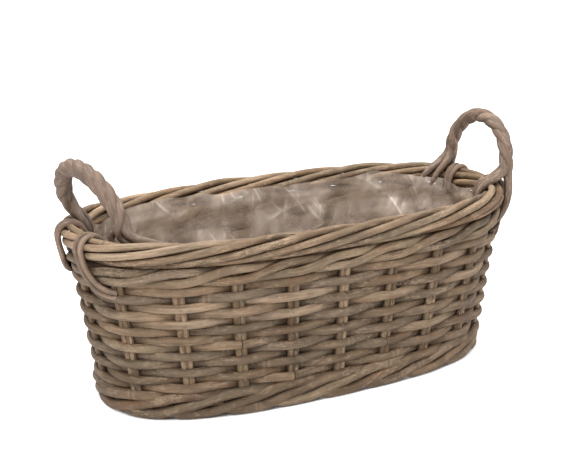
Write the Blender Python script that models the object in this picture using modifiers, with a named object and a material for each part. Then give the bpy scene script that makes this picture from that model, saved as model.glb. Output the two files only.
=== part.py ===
"""Oval rattan planter basket with two rope handles and a clear liner.

Metres, +Z up. The origin is on the floor, under the middle of the basket, with +X along its length.
Every rod is woven: wall stakes in pairs, a four-rod wale at the foot, plain rows in front of one
pair and behind the next, a four-rod wale at the top, and a border rolled from the stakes' own ends.
Pairs are numbered from 0 at the -X end, counter-clockwise seen from above.
"""
import math
from functools import lru_cache
from typing import NamedTuple

import bmesh
import bpy
import numpy as np
from mathutils import Vector

# Rods
STAKE_DIAMETER = 0.0066
WEAVER_DIAMETER = 0.0084
WALE_DIAMETER = 0.0084
SHORT_STICK_DIAMETER = 0.0080
LONG_STICK_DIAMETER = 0.0070
BASE_WEAVER_DIAMETER = 0.0062
LASHING_DIAMETER = 0.0050
ROPE_STRAND_DIAMETER = 0.0068

# Oval of the wall's middle surface at the floor, and how far the wall leans out
BASE_HALF_LENGTH = 0.2155
BASE_HALF_WIDTH = 0.0970
END_LEAN = math.radians(8.2)
SIDE_LEAN = math.radians(6.6)
OUTLINE_POWER = 2.6

# Counts: the pairs are a multiple of both wales' rods, so that each wale closes on itself
STAKE_PAIRS = 20
WALL_ROWS = 13
FOOT_WALE_RODS = 4
TOP_WALE_RODS = 4
BASE_WEAVERS = 2
LONG_STICKS = 9
END_LANES = 1
ROPE_STRANDS = 3
ROPE_THIRD_TURNS = 10

# Fits
CLEARANCE = 0.0003
WEAVE_CLEARANCE = 0.0005
ROW_GAP = 0.0005
WALE_GAP = 0.0028
ROD_END_SET_BACK = 0.0020
ROW_START_SHIFT = 6
LONG_STICK_INSET = 0.045
STICK_OVERHANG = 0.006
LONG_ROD_FOOT_HEIGHT = 0.0015
SHORT_ROD_FOOT_HEIGHT = 0.0010

# Rolled border: drops are shares of its radius, below its middle
BORDER_TURN_PER_STAKE = math.radians(55)
BORDER_FIRST_ANGLE = math.radians(-110)
BORDER_STAKES_PASSED = 4.5
BORDER_ROD_GAP = 0.0014
BEND_DROP = 1.15
PASSING_DROP = 0.96
SHORT_ROD_DROP = 1.44
PASSING_OUT = 0.1
STAKE_BEND_RADIUS = 0.008
BEND_SET_IN = 0.0012

# Rope handles: heights run along their lean, from the border's middle
HANDLE_HALF_SPREAD = 0.0553
HANDLE_FOOT_HALF_SPREAD = 0.0370
HANDLE_TOP = 0.0802
HANDLE_BOW_RADIUS = 0.0510
HANDLE_BOW_START = math.radians(-2)
HANDLE_TURN_RISE = 0.035
SPLIT_RISE = 0.026
LEG_GAP = 0.0020
OUTER_LEG_DROP = 0.024

# Lashings that hold the handles down
LASHING_DROP = 0.044
LASHING_SWEEP = 0.034
LASHING_GAP = 0.0006
LASHING_ARC_START = math.radians(140)
LASHING_ARC_END = math.radians(20)

# Liner
LINER_THICKNESS = 0.0006

# Finish
ROD_ROUGHNESS = 0.75
STAKE_COLOUR = (0.30, 0.22, 0.15)
ROW_COLOUR = (0.26, 0.20, 0.14)
WALE_COLOUR = (0.24, 0.18, 0.13)
BASE_COLOUR = (0.28, 0.20, 0.14)
ROPE_COLOUR = (0.29, 0.22, 0.16)
LASHING_COLOUR = (0.31, 0.24, 0.17)
LINER_COLOUR = (0.80, 0.80, 0.78)
LINER_ROUGHNESS = 0.15

# Fineness
OUTLINE_SAMPLES = 720
DIRECTION_STEP = 0.25
SETTLING_ROUNDS = 30
ROD_BEVEL_RESOLUTION = 1
BEND_POINTS = 3
BOW_SAMPLES = 40
ROPE_POINTS_PER_TURN = 6
BORDER_ARC_STEP = math.radians(30)
LASHING_FACE_POINTS = 5
FUSE_SHARE = 0.82
JOINED_ROLL = math.radians(13)
CAP_WELD = 0.00008
STRAIGHT_ENOUGH = math.radians(9)

COLLECTION_NAME = "rattan_planter_basket"
JOINED_COLLECTION_NAME = "rattan_planter_basket_joined_rods"

# Sizes that follow from the ones above
STAKE_RADIUS = STAKE_DIAMETER / 2
WEAVER_RADIUS = WEAVER_DIAMETER / 2
WALE_RADIUS = WALE_DIAMETER / 2
BASE_STICK_RADIUS = max(SHORT_STICK_DIAMETER, LONG_STICK_DIAMETER) / 2
BASE_WEAVER_RADIUS = BASE_WEAVER_DIAMETER / 2
LASHING_RADIUS = LASHING_DIAMETER / 2
ROPE_STRAND_RADIUS = ROPE_STRAND_DIAMETER / 2
HALF_THE_PAIRS = STAKE_PAIRS // 2
LANE_WIDTH = (BASE_HALF_WIDTH - LONG_STICK_INSET) / (LONG_STICKS // 2)
PAIR_SPREAD = STAKE_RADIUS * FUSE_SHARE
WALE_STEP = WALE_DIAMETER + WALE_GAP
ROW_PITCH = WEAVER_DIAMETER + ROW_GAP
WALE_TO_ROW = WALE_RADIUS + WEAVER_RADIUS + ROW_GAP
FOOT_WALE_LOW = CLEARANCE + WALE_RADIUS
FOOT_WALE_HIGH = FOOT_WALE_LOW + (FOOT_WALE_RODS - 2) * WALE_STEP
FIRST_ROW = FOOT_WALE_HIGH + WALE_TO_ROW
LAST_ROW = FIRST_ROW + (WALL_ROWS - 1) * ROW_PITCH
TOP_WALE_LOW = LAST_ROW + WALE_TO_ROW
TOP_WALE_HIGH = TOP_WALE_LOW + WALE_STEP
WALE_CROWN = TOP_WALE_HIGH + WALE_RADIUS + CLEARANCE
BORDER_RADIUS = (STAKE_DIAMETER + BORDER_ROD_GAP) / (2 * math.sin(BORDER_TURN_PER_STAKE / 2))
BORDER_CENTRE = WALE_CROWN + STAKE_RADIUS + PASSING_DROP * BORDER_RADIUS
BEND_HEIGHT = BORDER_CENTRE - BEND_DROP * BORDER_RADIUS
PASSING_HEIGHT = BORDER_CENTRE - PASSING_DROP * BORDER_RADIUS
SHORT_ROD_TOP = BORDER_CENTRE - SHORT_ROD_DROP * BORDER_RADIUS


@lru_cache(maxsize=None)
def outline(height):
    """The wall's oval at a height, the share of the way round at each point, and the whole way."""
    half_length = BASE_HALF_LENGTH + height * math.tan(END_LEAN)
    half_width = BASE_HALF_WIDTH + height * math.tan(SIDE_LEAN)
    angles = np.linspace(math.pi, 3 * math.pi, OUTLINE_SAMPLES + 1)
    cosines, sines = np.cos(angles), np.sin(angles)
    x = half_length * np.sign(cosines) * np.abs(cosines) ** (2 / OUTLINE_POWER)
    y = half_width * np.sign(sines) * np.abs(sines) ** (2 / OUTLINE_POWER)
    travelled = np.concatenate(([0.0], np.cumsum(np.hypot(np.diff(x), np.diff(y)))))
    return x, y, travelled / travelled[-1], travelled[-1]


def wall_point(stake, height, out=0.0, along=0.0):
    """A point at a pair's number (fractions lie between pairs), out from the wall's middle."""
    x, y, share, length = outline(round(height, 6))
    turn = stake / STAKE_PAIRS + along / length

    def at(turn_share):
        return Vector((np.interp(turn_share % 1, share, x), np.interp(turn_share % 1, share, y), height))

    step = DIRECTION_STEP / STAKE_PAIRS
    forward = (at(turn + step) - at(turn - step)).normalized()
    return at(turn) + Vector((forward.y, -forward.x, 0)) * out


def stake_abreast(sideways, height, out=0.0):
    """The pair's number, between an end's middle and a side's, at which the wall is so far sideways."""
    stakes = np.linspace(0, STAKE_PAIRS / 4, OUTLINE_SAMPLES)
    return np.interp(sideways, [-wall_point(stake, height, out).y for stake in stakes], stakes)


@lru_cache(maxsize=None)
def half_bend(stake):
    """Half the angle through which the wall turns at a stake pair."""
    before, here, after = (wall_point(stake + step, FIRST_ROW) for step in (-1, 0, 1))
    return (here - before).angle(after - here) / 2


@lru_cache(maxsize=None)
def crest(rod_radius, stake, side):
    """How far from the middle a rod passes a stake pair, so that its fall to the next clears it."""
    before, here, after = (wall_point(stake + step, FIRST_ROW) for step in (-1, 0, 1))
    spacing = min((here - before).length, (after - here).length)
    bend = math.tan(half_bend(stake))
    reach = (STAKE_RADIUS + rod_radius + WEAVE_CLEARANCE) / math.cos(max(END_LEAN, SIDE_LEAN))
    distance = reach
    for _ in range(SETTLING_ROUNDS):
        slope = max(2 * distance / spacing + side * bend, 0.0)
        distance = reach * math.hypot(1, slope) + slope * PAIR_SPREAD
    return distance


def make_material(name, colour, roughness):
    """A plain Principled material of one sub-part."""
    material = bpy.data.materials.new(name)
    material.use_nodes = True
    shader = material.node_tree.nodes["Principled BSDF"]
    shader.inputs["Base Color"].default_value = (*colour, 1)
    shader.inputs["Roughness"].default_value = roughness
    shader.inputs["Metallic"].default_value = 0.0
    material.diffuse_color = (*colour, 1)
    return material


def make_collection(name):
    """A collection linked to the scene."""
    collection = bpy.data.collections.new(name)
    bpy.context.scene.collection.children.link(collection)
    return collection


def add_rod(name, points, diameter, colour, collection, roll=0.0):
    """A round rod along a list of points, with flat cut ends, as a curve object; roll turns its facets."""
    curve = bpy.data.curves.new(name, "CURVE")
    curve.dimensions = "3D"
    curve.bevel_depth = diameter / 2
    curve.bevel_resolution = ROD_BEVEL_RESOLUTION
    curve.use_fill_caps = True
    spline = curve.splines.new("POLY")
    spline.points.add(len(points) - 1)
    for spline_point, point in zip(spline.points, points):
        spline_point.co = (*point, 1)
        spline_point.tilt = roll
    rod = bpy.data.objects.new(name, curve)
    curve.materials.append(make_material(name, colour, ROD_ROUGHNESS))
    collection.objects.link(rod)
    return rod


def as_mesh(rod):
    """The same rod as a mesh object with its caps welded on, so that it can be joined to another."""
    evaluated = rod.evaluated_get(bpy.context.evaluated_depsgraph_get())
    mesh = bpy.data.meshes.new_from_object(evaluated)
    shape = bmesh.new()
    shape.from_mesh(mesh)
    bmesh.ops.remove_doubles(shape, verts=shape.verts, dist=CAP_WELD)
    bmesh.ops.recalc_face_normals(shape, faces=shape.faces)
    shape.to_mesh(mesh)
    shape.free()
    name, curve, collection = rod.name, rod.data, rod.users_collection[0]
    bpy.data.objects.remove(rod)
    bpy.data.curves.remove(curve)
    solid = bpy.data.objects.new(name, mesh)
    collection.objects.link(solid)
    return solid


def join_rods(carrier, others, joined_collection):
    """Fuse other rods into the carrier with exact unions."""
    for other in others:
        for collection in list(other.users_collection):
            collection.objects.unlink(other)
        joined_collection.objects.link(other)
        other.hide_render = True
        other.display_type = "WIRE"
        union = carrier.modifiers.new("join_" + other.name, "BOOLEAN")
        union.operation = "UNION"
        union.solver = "EXACT"
        union.object = other


def foot_points(stake, along, foot_height):
    """The lowest stretch of a stake's rod, upright so that its cut end stands flat on the floor."""
    upright = wall_point(stake, foot_height, 0.0, along)
    return [Vector((upright.x, upright.y, 0.0)), upright]


def border_point(stake, passed):
    """The middle of a border rod that left its stake a number of pairs ago."""
    angle = BORDER_FIRST_ANGLE + BORDER_TURN_PER_STAKE * passed
    out = BORDER_RADIUS * math.cos(angle)
    return wall_point(stake + passed, BORDER_CENTRE + BORDER_RADIUS * math.sin(angle), out)


def long_rod_points(stake):
    """The longer rod of a pair: up the wall, over to the right, and round the border to its cut end."""
    points = foot_points(stake, PAIR_SPREAD, LONG_ROD_FOOT_HEIGHT)
    for turn in np.linspace(0, math.pi / 2, BEND_POINTS):
        height = BEND_HEIGHT - STAKE_BEND_RADIUS * (1 - math.sin(turn))
        run = STAKE_BEND_RADIUS * (1 - math.cos(turn))
        points.append(wall_point(stake, height, -BEND_SET_IN * math.sin(turn), PAIR_SPREAD + run))
    points.append(wall_point(stake + 0.5, PASSING_HEIGHT, PASSING_OUT * BORDER_RADIUS))
    half_steps = round(2 * (BORDER_STAKES_PASSED - 1))
    points += [border_point(stake, 1 + step / 2) for step in range(half_steps + 1)]
    return points


def add_stake_pairs(collection, joined_collection):
    """Stake pairs, each fused side to side, one rod of each turned down into the border."""
    for stake in range(STAKE_PAIRS):
        long_name, short_name = f"stake_pair_{stake + 1:02d}", f"short_rod_{stake + 1:02d}"
        short_points = foot_points(stake, -PAIR_SPREAD, SHORT_ROD_FOOT_HEIGHT)
        short_points.append(wall_point(stake, SHORT_ROD_TOP, 0.0, -PAIR_SPREAD))
        long_rod = add_rod(long_name, long_rod_points(stake), STAKE_DIAMETER, STAKE_COLOUR, collection)
        short_rod = add_rod(short_name, short_points, STAKE_DIAMETER, STAKE_COLOUR, collection,
                            roll=JOINED_ROLL)
        join_rods(as_mesh(long_rod), [as_mesh(short_rod)], joined_collection)


def end_set_back(step, last_step):
    """How far along the wall a rod's first and last points lie back from where the two ends meet."""
    return {0: ROD_END_SET_BACK, last_step: -ROD_END_SET_BACK}.get(step, 0.0)


def add_wall_rows(collection):
    """Plain rows, each in front of one pair and behind the next, its ends meeting behind a pair."""
    for row in range(WALL_ROWS):
        height = FIRST_ROW + row * ROW_PITCH
        first = row * ROW_START_SHIFT + (row + 1) % 2
        points = []
        for step in range(STAKE_PAIRS + 1):
            stake = first + step
            side = 1 if (stake + row) % 2 == 0 else -1
            out = side * crest(WEAVER_RADIUS, stake % STAKE_PAIRS, side)
            points.append(wall_point(stake, height, out, end_set_back(step, STAKE_PAIRS)))
        add_rod(f"wall_row_{row + 1:02d}", points, WEAVER_DIAMETER, ROW_COLOUR, collection)


def wale_points(rod, strokes):
    """One wale rod's way round: a point at each pair, and one between where it bends or crosses."""
    first = rod + len(strokes) - 1
    points = []
    for half_step in range(2 * STAKE_PAIRS + 1):
        stake = first + half_step / 2
        here, there = int(stake) % STAKE_PAIRS, int(stake + 1) % STAKE_PAIRS
        side, height = strokes[int(stake - rod) % len(strokes)]
        next_side, next_height = strokes[int(stake - rod + 1) % len(strokes)]
        out = side * crest(WALE_RADIUS, here, side)
        if half_step % 2 and side == next_side:
            if half_bend(here) + half_bend(there) < STRAIGHT_ENOUGH:
                continue
            out = (out + next_side * crest(WALE_RADIUS, there, next_side)) / 2
            height = (height + next_height) / 2
        elif half_step % 2:
            out, height = 0.0, height if side > 0 else next_height
        points.append(wall_point(stake, height, out, end_set_back(half_step, 2 * STAKE_PAIRS)))
    return points


def foot_wale_strokes():
    """In front of all pairs but one, rising, then behind one, over the base stick that meets it."""
    spacing = (wall_point(1, 0.0) - wall_point(0, 0.0)).length
    reach = BASE_STICK_RADIUS + WALE_RADIUS + 2 * CLEARANCE
    lift = reach
    for _ in range(SETTLING_ROUNDS):
        slope = (BASE_LEVEL + lift - FOOT_WALE_LOW) / (spacing / 2)
        lift = reach * math.hypot(1, slope)
    front = [(1, FOOT_WALE_LOW + level * WALE_STEP) for level in range(FOOT_WALE_RODS - 1)]
    return front + [(-1, BASE_LEVEL + lift)]


def top_wale_strokes():
    """In front of two pairs and behind two, two rods high."""
    return [(1, TOP_WALE_LOW), (1, TOP_WALE_HIGH), (-1, TOP_WALE_HIGH), (-1, TOP_WALE_LOW)]


def add_wales(collection):
    """The wale at the foot and the one under the border, each rod a pair behind the one before."""
    for prefix, rods, strokes in (("foot_wale", FOOT_WALE_RODS, foot_wale_strokes()),
                                  ("top_wale", TOP_WALE_RODS, top_wale_strokes())):
        for rod in range(rods):
            name = f"{prefix}_{rod + 1}"
            add_rod(name, wale_points(rod, strokes), WALE_DIAMETER, WALE_COLOUR, collection)


def stick_foot(stake):
    """Where a base stick meets the foot of its stake pair."""
    return wall_point(stake % STAKE_PAIRS, 0.0, -STAKE_RADIUS - CLEARANCE)


def stick_target(stake):
    """The point that a base stick runs towards from its foot: its lane's start, or the pair across."""
    foot = stick_foot(stake)
    from_end = min(stake % HALF_THE_PAIRS, -stake % HALF_THE_PAIRS)
    if from_end > END_LANES:
        return stick_foot(-stake)
    lane_start = abs(wall_point(END_LANES + 1, 0.0).x) - STICK_OVERHANG
    return Vector((math.copysign(lane_start, foot.x), math.copysign(from_end * LANE_WIDTH, foot.y), 0.0))


def base_place(stake, inset):
    """A point on a base stick, measured from the wall's middle surface along the stick."""
    foot, target = stick_foot(stake), stick_target(stake)
    return foot + (target - foot).normalized() * (inset - STAKE_RADIUS - CLEARANCE)


def base_crest(stake, inset):
    """How far a base weaver passes over or under a stick there, for its fall to the next sticks."""
    here = base_place(stake, inset)
    spacing = min((base_place(stake + step, inset) - here).length for step in (-1, 1))
    reach = BASE_STICK_RADIUS + BASE_WEAVER_RADIUS + CLEARANCE
    return reach / math.sqrt(1 - (2 * reach / spacing) ** 2)


def base_row_inset(step):
    """How far in from the wall a base weaver lies after a number of sticks."""
    first = crest(WALE_RADIUS, 0, -1) + WALE_RADIUS + BASE_WEAVER_RADIUS + 3 * CLEARANCE
    pitch = BASE_WEAVER_DIAMETER + ROW_GAP
    return first + BASE_WEAVERS * pitch * step / STAKE_PAIRS


BASE_CREST = max(base_crest(weaver * STAKE_PAIRS // BASE_WEAVERS + step, base_row_inset(step))
                 for weaver in range(BASE_WEAVERS) for step in range(STAKE_PAIRS + 1))
BASE_LEVEL = CLEARANCE + BASE_WEAVER_RADIUS + BASE_CREST
BASE_TOP = BASE_LEVEL + BASE_CREST + BASE_WEAVER_RADIUS
BASE_WEAVING_INSET = base_row_inset(STAKE_PAIRS) + BASE_WEAVER_RADIUS


def at_base_level(point, above=0.0):
    """The same point, lifted from the floor to the base sticks' middle."""
    return Vector((point.x, point.y, BASE_LEVEL + above))


def long_stick_routes():
    """Long sticks: those that meet the pairs at the ends, and those that stop inside the weaving."""
    routes = []
    for near in range(1, END_LANES + 1):
        for start, finish in ((near, HALF_THE_PAIRS - near), (-near, HALF_THE_PAIRS + near)):
            routes.append([stick_foot(start), stick_target(start), stick_target(finish), stick_foot(finish)])
    for lane in range(END_LANES + 1, LONG_STICKS // 2 + 1):
        y = lane * LANE_WIDTH
        crossed = [foot for foot in map(stick_foot, range(END_LANES + 1, HALF_THE_PAIRS // 2))
                   if abs(foot.y) - BASE_WEAVING_INSET > y]
        reach = abs(crossed[0].x) + STICK_OVERHANG
        routes += [[Vector((-reach, side * y, 0.0)), Vector((reach, side * y, 0.0))] for side in (-1, 1)]
    return routes


def add_base_sticks(collection, joined_collection):
    """Short and long sticks pierced through each other, reaching out to the foot of every pair."""
    spine = [at_base_level(stick_foot(stake)) for stake in (0, HALF_THE_PAIRS)]
    carrier = as_mesh(add_rod("base_sticks", spine, LONG_STICK_DIAMETER, BASE_COLOUR, collection))
    sticks = [(LONG_STICK_DIAMETER, 0.0, route) for route in long_stick_routes()]
    sticks += [(SHORT_STICK_DIAMETER, JOINED_ROLL, [stick_foot(stake), stick_foot(-stake)])
               for stake in range(END_LANES + 1, HALF_THE_PAIRS - END_LANES)]
    others = []
    for number, (diameter, roll, route) in enumerate(sticks):
        lifted, name = [at_base_level(point) for point in route], f"stick_{number + 1:02d}"
        others.append(as_mesh(add_rod(name, lifted, diameter, BASE_COLOUR, collection, roll)))
    join_rods(carrier, others, joined_collection)


def add_base_weavers(collection):
    """Rods that chase each other round the base, over one stick and under the next."""
    for weaver in range(BASE_WEAVERS):
        first = weaver * STAKE_PAIRS // BASE_WEAVERS
        points = []
        for step in range(STAKE_PAIRS + 1):
            stake, inset = first + step, base_row_inset(step)
            side = 1 if (step + weaver) % 2 == 0 else -1
            points.append(at_base_level(base_place(stake, inset), side * base_crest(stake, inset)))
        add_rod(f"base_weaver_{weaver + 1}", points, BASE_WEAVER_DIAMETER, BASE_COLOUR, collection)


def handle_route():
    """The rope's middle in the handle's own plane, as sideways, up and the way travelled."""
    bow = [(HANDLE_HALF_SPREAD * math.cos(angle), HANDLE_TOP - HANDLE_BOW_RADIUS * (1 - math.sin(angle)))
           for angle in np.linspace(HANDLE_BOW_START, math.pi - HANDLE_BOW_START, BOW_SAMPLES + 1)]
    route = np.array([(HANDLE_FOOT_HALF_SPREAD, 0.0)] + bow + [(-HANDLE_FOOT_HALF_SPREAD, 0.0)])
    steps = np.linalg.norm(np.diff(route, axis=0), axis=1)
    return route[:, 0], route[:, 1], np.concatenate(([0.0], np.cumsum(steps)))


def along_leg(up):
    """Where a leg reaches a height: its distance from the handle's middle, and the way travelled."""
    sideways, heights, travelled = (values[:BOW_SAMPLES // 2] for values in handle_route())
    return np.interp(up, heights, sideways), np.interp(up, heights, travelled)


# Rope: how far its strands lie from its middle, for their lay and for the facets of their turns
ROPE_START = along_leg(SPLIT_RISE)[1]
ROPE_LENGTH = handle_route()[2][-1] - 2 * ROPE_START
TOUCHING_OFFSET = (ROPE_STRAND_DIAMETER + CLEARANCE) / (2 * math.sin(math.pi / ROPE_STRANDS))
ROPE_LAY = math.atan(2 * math.pi * TOUCHING_OFFSET * ROPE_THIRD_TURNS / (ROPE_STRANDS * ROPE_LENGTH))
STRAND_OFFSET = TOUCHING_OFFSET / (math.cos(math.pi / ROPE_POINTS_PER_TURN) * math.cos(ROPE_LAY))


class Handle(NamedTuple):
    """What differs between the two handles, which are made by hand."""
    label: str
    end: int
    lean: float
    turn: float
    out_of_middle: float
    inner_leg_angle: float
    astride: bool


HANDLES = (Handle("left", -1, math.radians(17.1), math.radians(9.7), -0.0222, math.radians(150), False),
           Handle("right", 1, math.radians(7.0), 0.0, 0.0040, math.radians(120), True))


def over_border(rod_radius, first_angle, last_angle):
    """Points of a rod laid over the border, as (out, height), and how far in and out it stands."""
    angles = np.linspace(first_angle, last_angle, round(abs(last_angle - first_angle) / BORDER_ARC_STEP) + 1)
    over = (BORDER_RADIUS + STAKE_RADIUS + rod_radius + 2 * CLEARANCE) / math.cos(BORDER_ARC_STEP / 2)
    inside, outside = (
        max(over, max(crest(WALE_RADIUS, stake, side) for stake in range(END_LANES + 2))
            + WALE_RADIUS + rod_radius + CLEARANCE) for side in (-1, 1))
    arc = [(math.cos(angle) * (inside if math.cos(angle) < 0 else outside),
            BORDER_CENTRE + over * math.sin(angle)) for angle in angles]
    return arc, inside, outside


def leg_place(handle):
    """How far from the handle's middle its strands cross the border, and half the width they need."""
    strands_beside = ROPE_STRANDS - 1 if handle.astride else ROPE_STRANDS
    return along_leg(BORDER_RADIUS)[0], strands_beside * (ROPE_STRAND_DIAMETER + LEG_GAP) / 2


def stake_beside(handle, beside, direction, out):
    """The pair's number so far beside a handle's middle, at the front (1) or at the back (-1)."""
    turn = stake_abreast(beside, BORDER_CENTRE, out)
    return direction * turn if handle.end < 0 else HALF_THE_PAIRS - direction * turn


def strand_leg(handle, direction, angle):
    """A strand's way from the split rope down the border's outside, or over it and down its inside."""
    arc, inside, outside = over_border(ROPE_STRAND_RADIUS, handle.inner_leg_angle, math.pi)
    beside, _ = leg_place(handle)
    section = arc + [(-inside, WALE_CROWN)]
    if math.sin(angle) < 0:
        shift = (ROPE_STRANDS - 2 if handle.astride else ROPE_STRANDS - 1) / 2
        beside += math.copysign(shift * (ROPE_STRAND_DIAMETER + LEG_GAP), math.cos(angle))
    elif handle.astride:
        section = [(outside, BORDER_CENTRE), (outside, BORDER_CENTRE - OUTER_LEG_DROP)]
    stake = stake_beside(handle, beside, direction, -inside)
    return [wall_point(stake, height, out) for out, height in section]


def add_handle(handle, collection):
    """Strands laid round each other along the bow, and parted again over the border."""
    foot = wall_point(stake_abreast(HANDLE_FOOT_HALF_SPREAD, BORDER_CENTRE), BORDER_CENTRE)
    sideways, up, travelled = handle_route()
    count = ROPE_THIRD_TURNS * ROPE_POINTS_PER_TURN // ROPE_STRANDS + 1
    places = np.linspace(ROPE_START, travelled[-1] - ROPE_START, count)
    sideways, up = np.interp(places, travelled, sideways), np.interp(places, travelled, up)
    upward = Vector((handle.end * math.sin(handle.lean), 0, math.cos(handle.lean)))
    outward = Vector((handle.end * math.cos(handle.lean), 0, -math.sin(handle.lean)))
    for strand in range(ROPE_STRANDS):
        points = []
        thirds = np.linspace(0, ROPE_THIRD_TURNS, count) + strand
        angles = 2 * math.pi * thirds / ROPE_STRANDS + math.pi / 2
        for index, angle in enumerate(angles):
            before, after = max(index - 1, 0), min(index + 1, count - 1)
            tangent = Vector((sideways[after] - sideways[before], up[after] - up[before])).normalized()
            in_plane, off_plane = STRAND_OFFSET * math.cos(angle), STRAND_OFFSET * math.sin(angle)
            turned = sideways[index] * math.sin(handle.turn) * min(up[index] / HANDLE_TURN_RISE, 1)
            x = handle.end * (handle.out_of_middle - foot.x) - turned
            middle = Vector((x, sideways[index] + tangent.y * in_plane, BORDER_CENTRE))
            points.append(middle + upward * (up[index] - tangent.x * in_plane) + outward * off_plane)
        back_leg, front_leg = strand_leg(handle, -1, angles[0]), strand_leg(handle, 1, angles[-1])
        name = f"handle_{handle.label}_strand_{strand + 1}"
        points = back_leg[::-1] + points + front_leg
        add_rod(name, points, ROPE_STRAND_DIAMETER, ROPE_COLOUR, collection)


def lashing_section(inner):
    """A lashing's way over the border and down the wall in a curve, as (out, height, along)."""
    arc, inside, outside = over_border(LASHING_RADIUS, LASHING_ARC_START, LASHING_ARC_END)
    section = [(-inside, WALE_CROWN + LASHING_RADIUS, 0.0), (-inside, BORDER_CENTRE, 0.0)]
    section += [(out, height, 0.0) for out, height in arc]
    for turn in np.linspace(0, math.pi / 2, LASHING_FACE_POINTS)[1:]:
        drop, sweep = (LASHING_DROP - inner) * math.sin(turn), (LASHING_SWEEP - inner) * (1 - math.cos(turn))
        section.append((outside, BORDER_CENTRE - drop, sweep))
    return section


def add_lashings(handle, collection):
    """Two rods side by side over the border beside each leg, swept round under the leg."""
    pitch = LASHING_DIAMETER + LASHING_GAP
    leg, leg_half_width = leg_place(handle)
    for label, direction in (("front", 1), ("back", -1)):
        for rod in range(2):
            section = lashing_section(rod * pitch)
            beside = leg - leg_half_width - (1.5 - rod) * pitch
            stake = stake_beside(handle, beside, direction, section[0][0])
            points = [wall_point(stake, height, out, -handle.end * direction * along)
                      for out, height, along in section]
            name = f"handle_{handle.label}_lashing_{label}_{rod + 1}"
            add_rod(name, points, LASHING_DIAMETER, LASHING_COLOUR, collection)


def add_liner(collection):
    """A thin open bag inside the weave, its bottom on the base and its edge under the rope's legs."""
    inset = CLEARANCE + max(crest(radius, stake, -1) + radius
                            for radius in (WEAVER_RADIUS, WALE_RADIUS) for stake in range(STAKE_PAIRS))
    bottom, top = BASE_TOP + CLEARANCE, WALE_CROWN - ROPE_STRAND_RADIUS - CLEARANCE
    shape = bmesh.new()
    bmesh.ops.create_cone(shape, cap_ends=True, segments=STAKE_PAIRS, radius1=1.0, radius2=1.0, depth=1.0)
    lid = max(shape.faces, key=lambda face: face.calc_center_median().z)
    bmesh.ops.delete(shape, geom=[lid], context="FACES_ONLY")
    for vertex in shape.verts:
        turn = math.atan2(-vertex.co.x, vertex.co.y) / (2 * math.pi)
        height = top if vertex.co.z > 0 else bottom
        vertex.co = wall_point(round(turn * STAKE_PAIRS), height, -inset)
    mesh = bpy.data.meshes.new("liner")
    shape.to_mesh(mesh)
    shape.free()
    mesh.materials.append(make_material("liner", LINER_COLOUR, LINER_ROUGHNESS))
    liner = bpy.data.objects.new("liner", mesh)
    collection.objects.link(liner)
    film = liner.modifiers.new("film", "SOLIDIFY")
    film.thickness = LINER_THICKNESS
    film.offset = -1


def build():
    """Clear the scene and make every piece."""
    for leftover in list(bpy.data.objects):
        bpy.data.objects.remove(leftover)
    basket = make_collection(COLLECTION_NAME)
    joined = make_collection(JOINED_COLLECTION_NAME)
    add_base_sticks(basket, joined)
    add_base_weavers(basket)
    add_stake_pairs(basket, joined)
    add_wales(basket)
    add_wall_rows(basket)
    for handle in HANDLES:
        add_handle(handle, basket)
        add_lashings(handle, basket)
    add_liner(basket)


build()
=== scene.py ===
import math
from types import SimpleNamespace

import bpy
import numpy as np
from bpy.props import FloatProperty, FloatVectorProperty, IntProperty, PointerProperty
from mathutils import Matrix, Vector


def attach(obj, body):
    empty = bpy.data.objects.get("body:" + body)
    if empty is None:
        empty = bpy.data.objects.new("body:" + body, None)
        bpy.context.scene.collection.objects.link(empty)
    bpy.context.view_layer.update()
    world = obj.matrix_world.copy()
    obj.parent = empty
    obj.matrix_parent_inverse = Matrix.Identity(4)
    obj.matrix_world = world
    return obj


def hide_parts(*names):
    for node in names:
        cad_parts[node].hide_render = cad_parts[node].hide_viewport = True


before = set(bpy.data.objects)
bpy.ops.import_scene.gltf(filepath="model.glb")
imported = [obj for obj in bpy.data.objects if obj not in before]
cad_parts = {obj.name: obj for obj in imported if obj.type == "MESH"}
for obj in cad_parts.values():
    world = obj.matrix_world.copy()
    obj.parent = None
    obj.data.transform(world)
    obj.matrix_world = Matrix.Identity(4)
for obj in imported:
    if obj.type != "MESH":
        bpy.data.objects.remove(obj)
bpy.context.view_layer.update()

bl_info = {
    "name": "Rattan planter basket",
    "version": (1, 0, 0),
    "blender": (4, 5, 0),
    "location": "View3D > Sidebar > Basket",
    "description": "An oval planter basket woven from weathered rattan, with rope handles and a clear liner",
    "category": "Object",
}

MM = 0.001
# each kind of piece draws its unevenness from its own seeds
SEEDS = {"stakes": 100, "rows": 300, "foot_wale": 500, "top_wale": 520, "base": 700, "strands": 800,
         "lashings": 900, "liner": 1000}


# Settings


def length(name, description, default):
    """A size in metres, given in millimetres."""
    return FloatProperty(name=name, description=description, default=default * MM, unit="LENGTH",
                         subtype="DISTANCE", precision=4, min=0.0)


def angle(name, description, default):
    """An angle, given in degrees."""
    return FloatProperty(name=name, description=description, default=math.radians(default),
                         unit="ROTATION", subtype="ANGLE")


def share(name, description, default):
    """A plain number."""
    return FloatProperty(name=name, description=description, default=default, precision=3)


def count(name, description, default):
    """A whole number."""
    return IntProperty(name=name, description=description, default=default, min=1)


def colour(name, description, default):
    """A colour, as linear red, green and blue."""
    return FloatVectorProperty(name=name, description=description, default=default, subtype="COLOR",
                               size=3, min=0.0, max=1.0)


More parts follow.
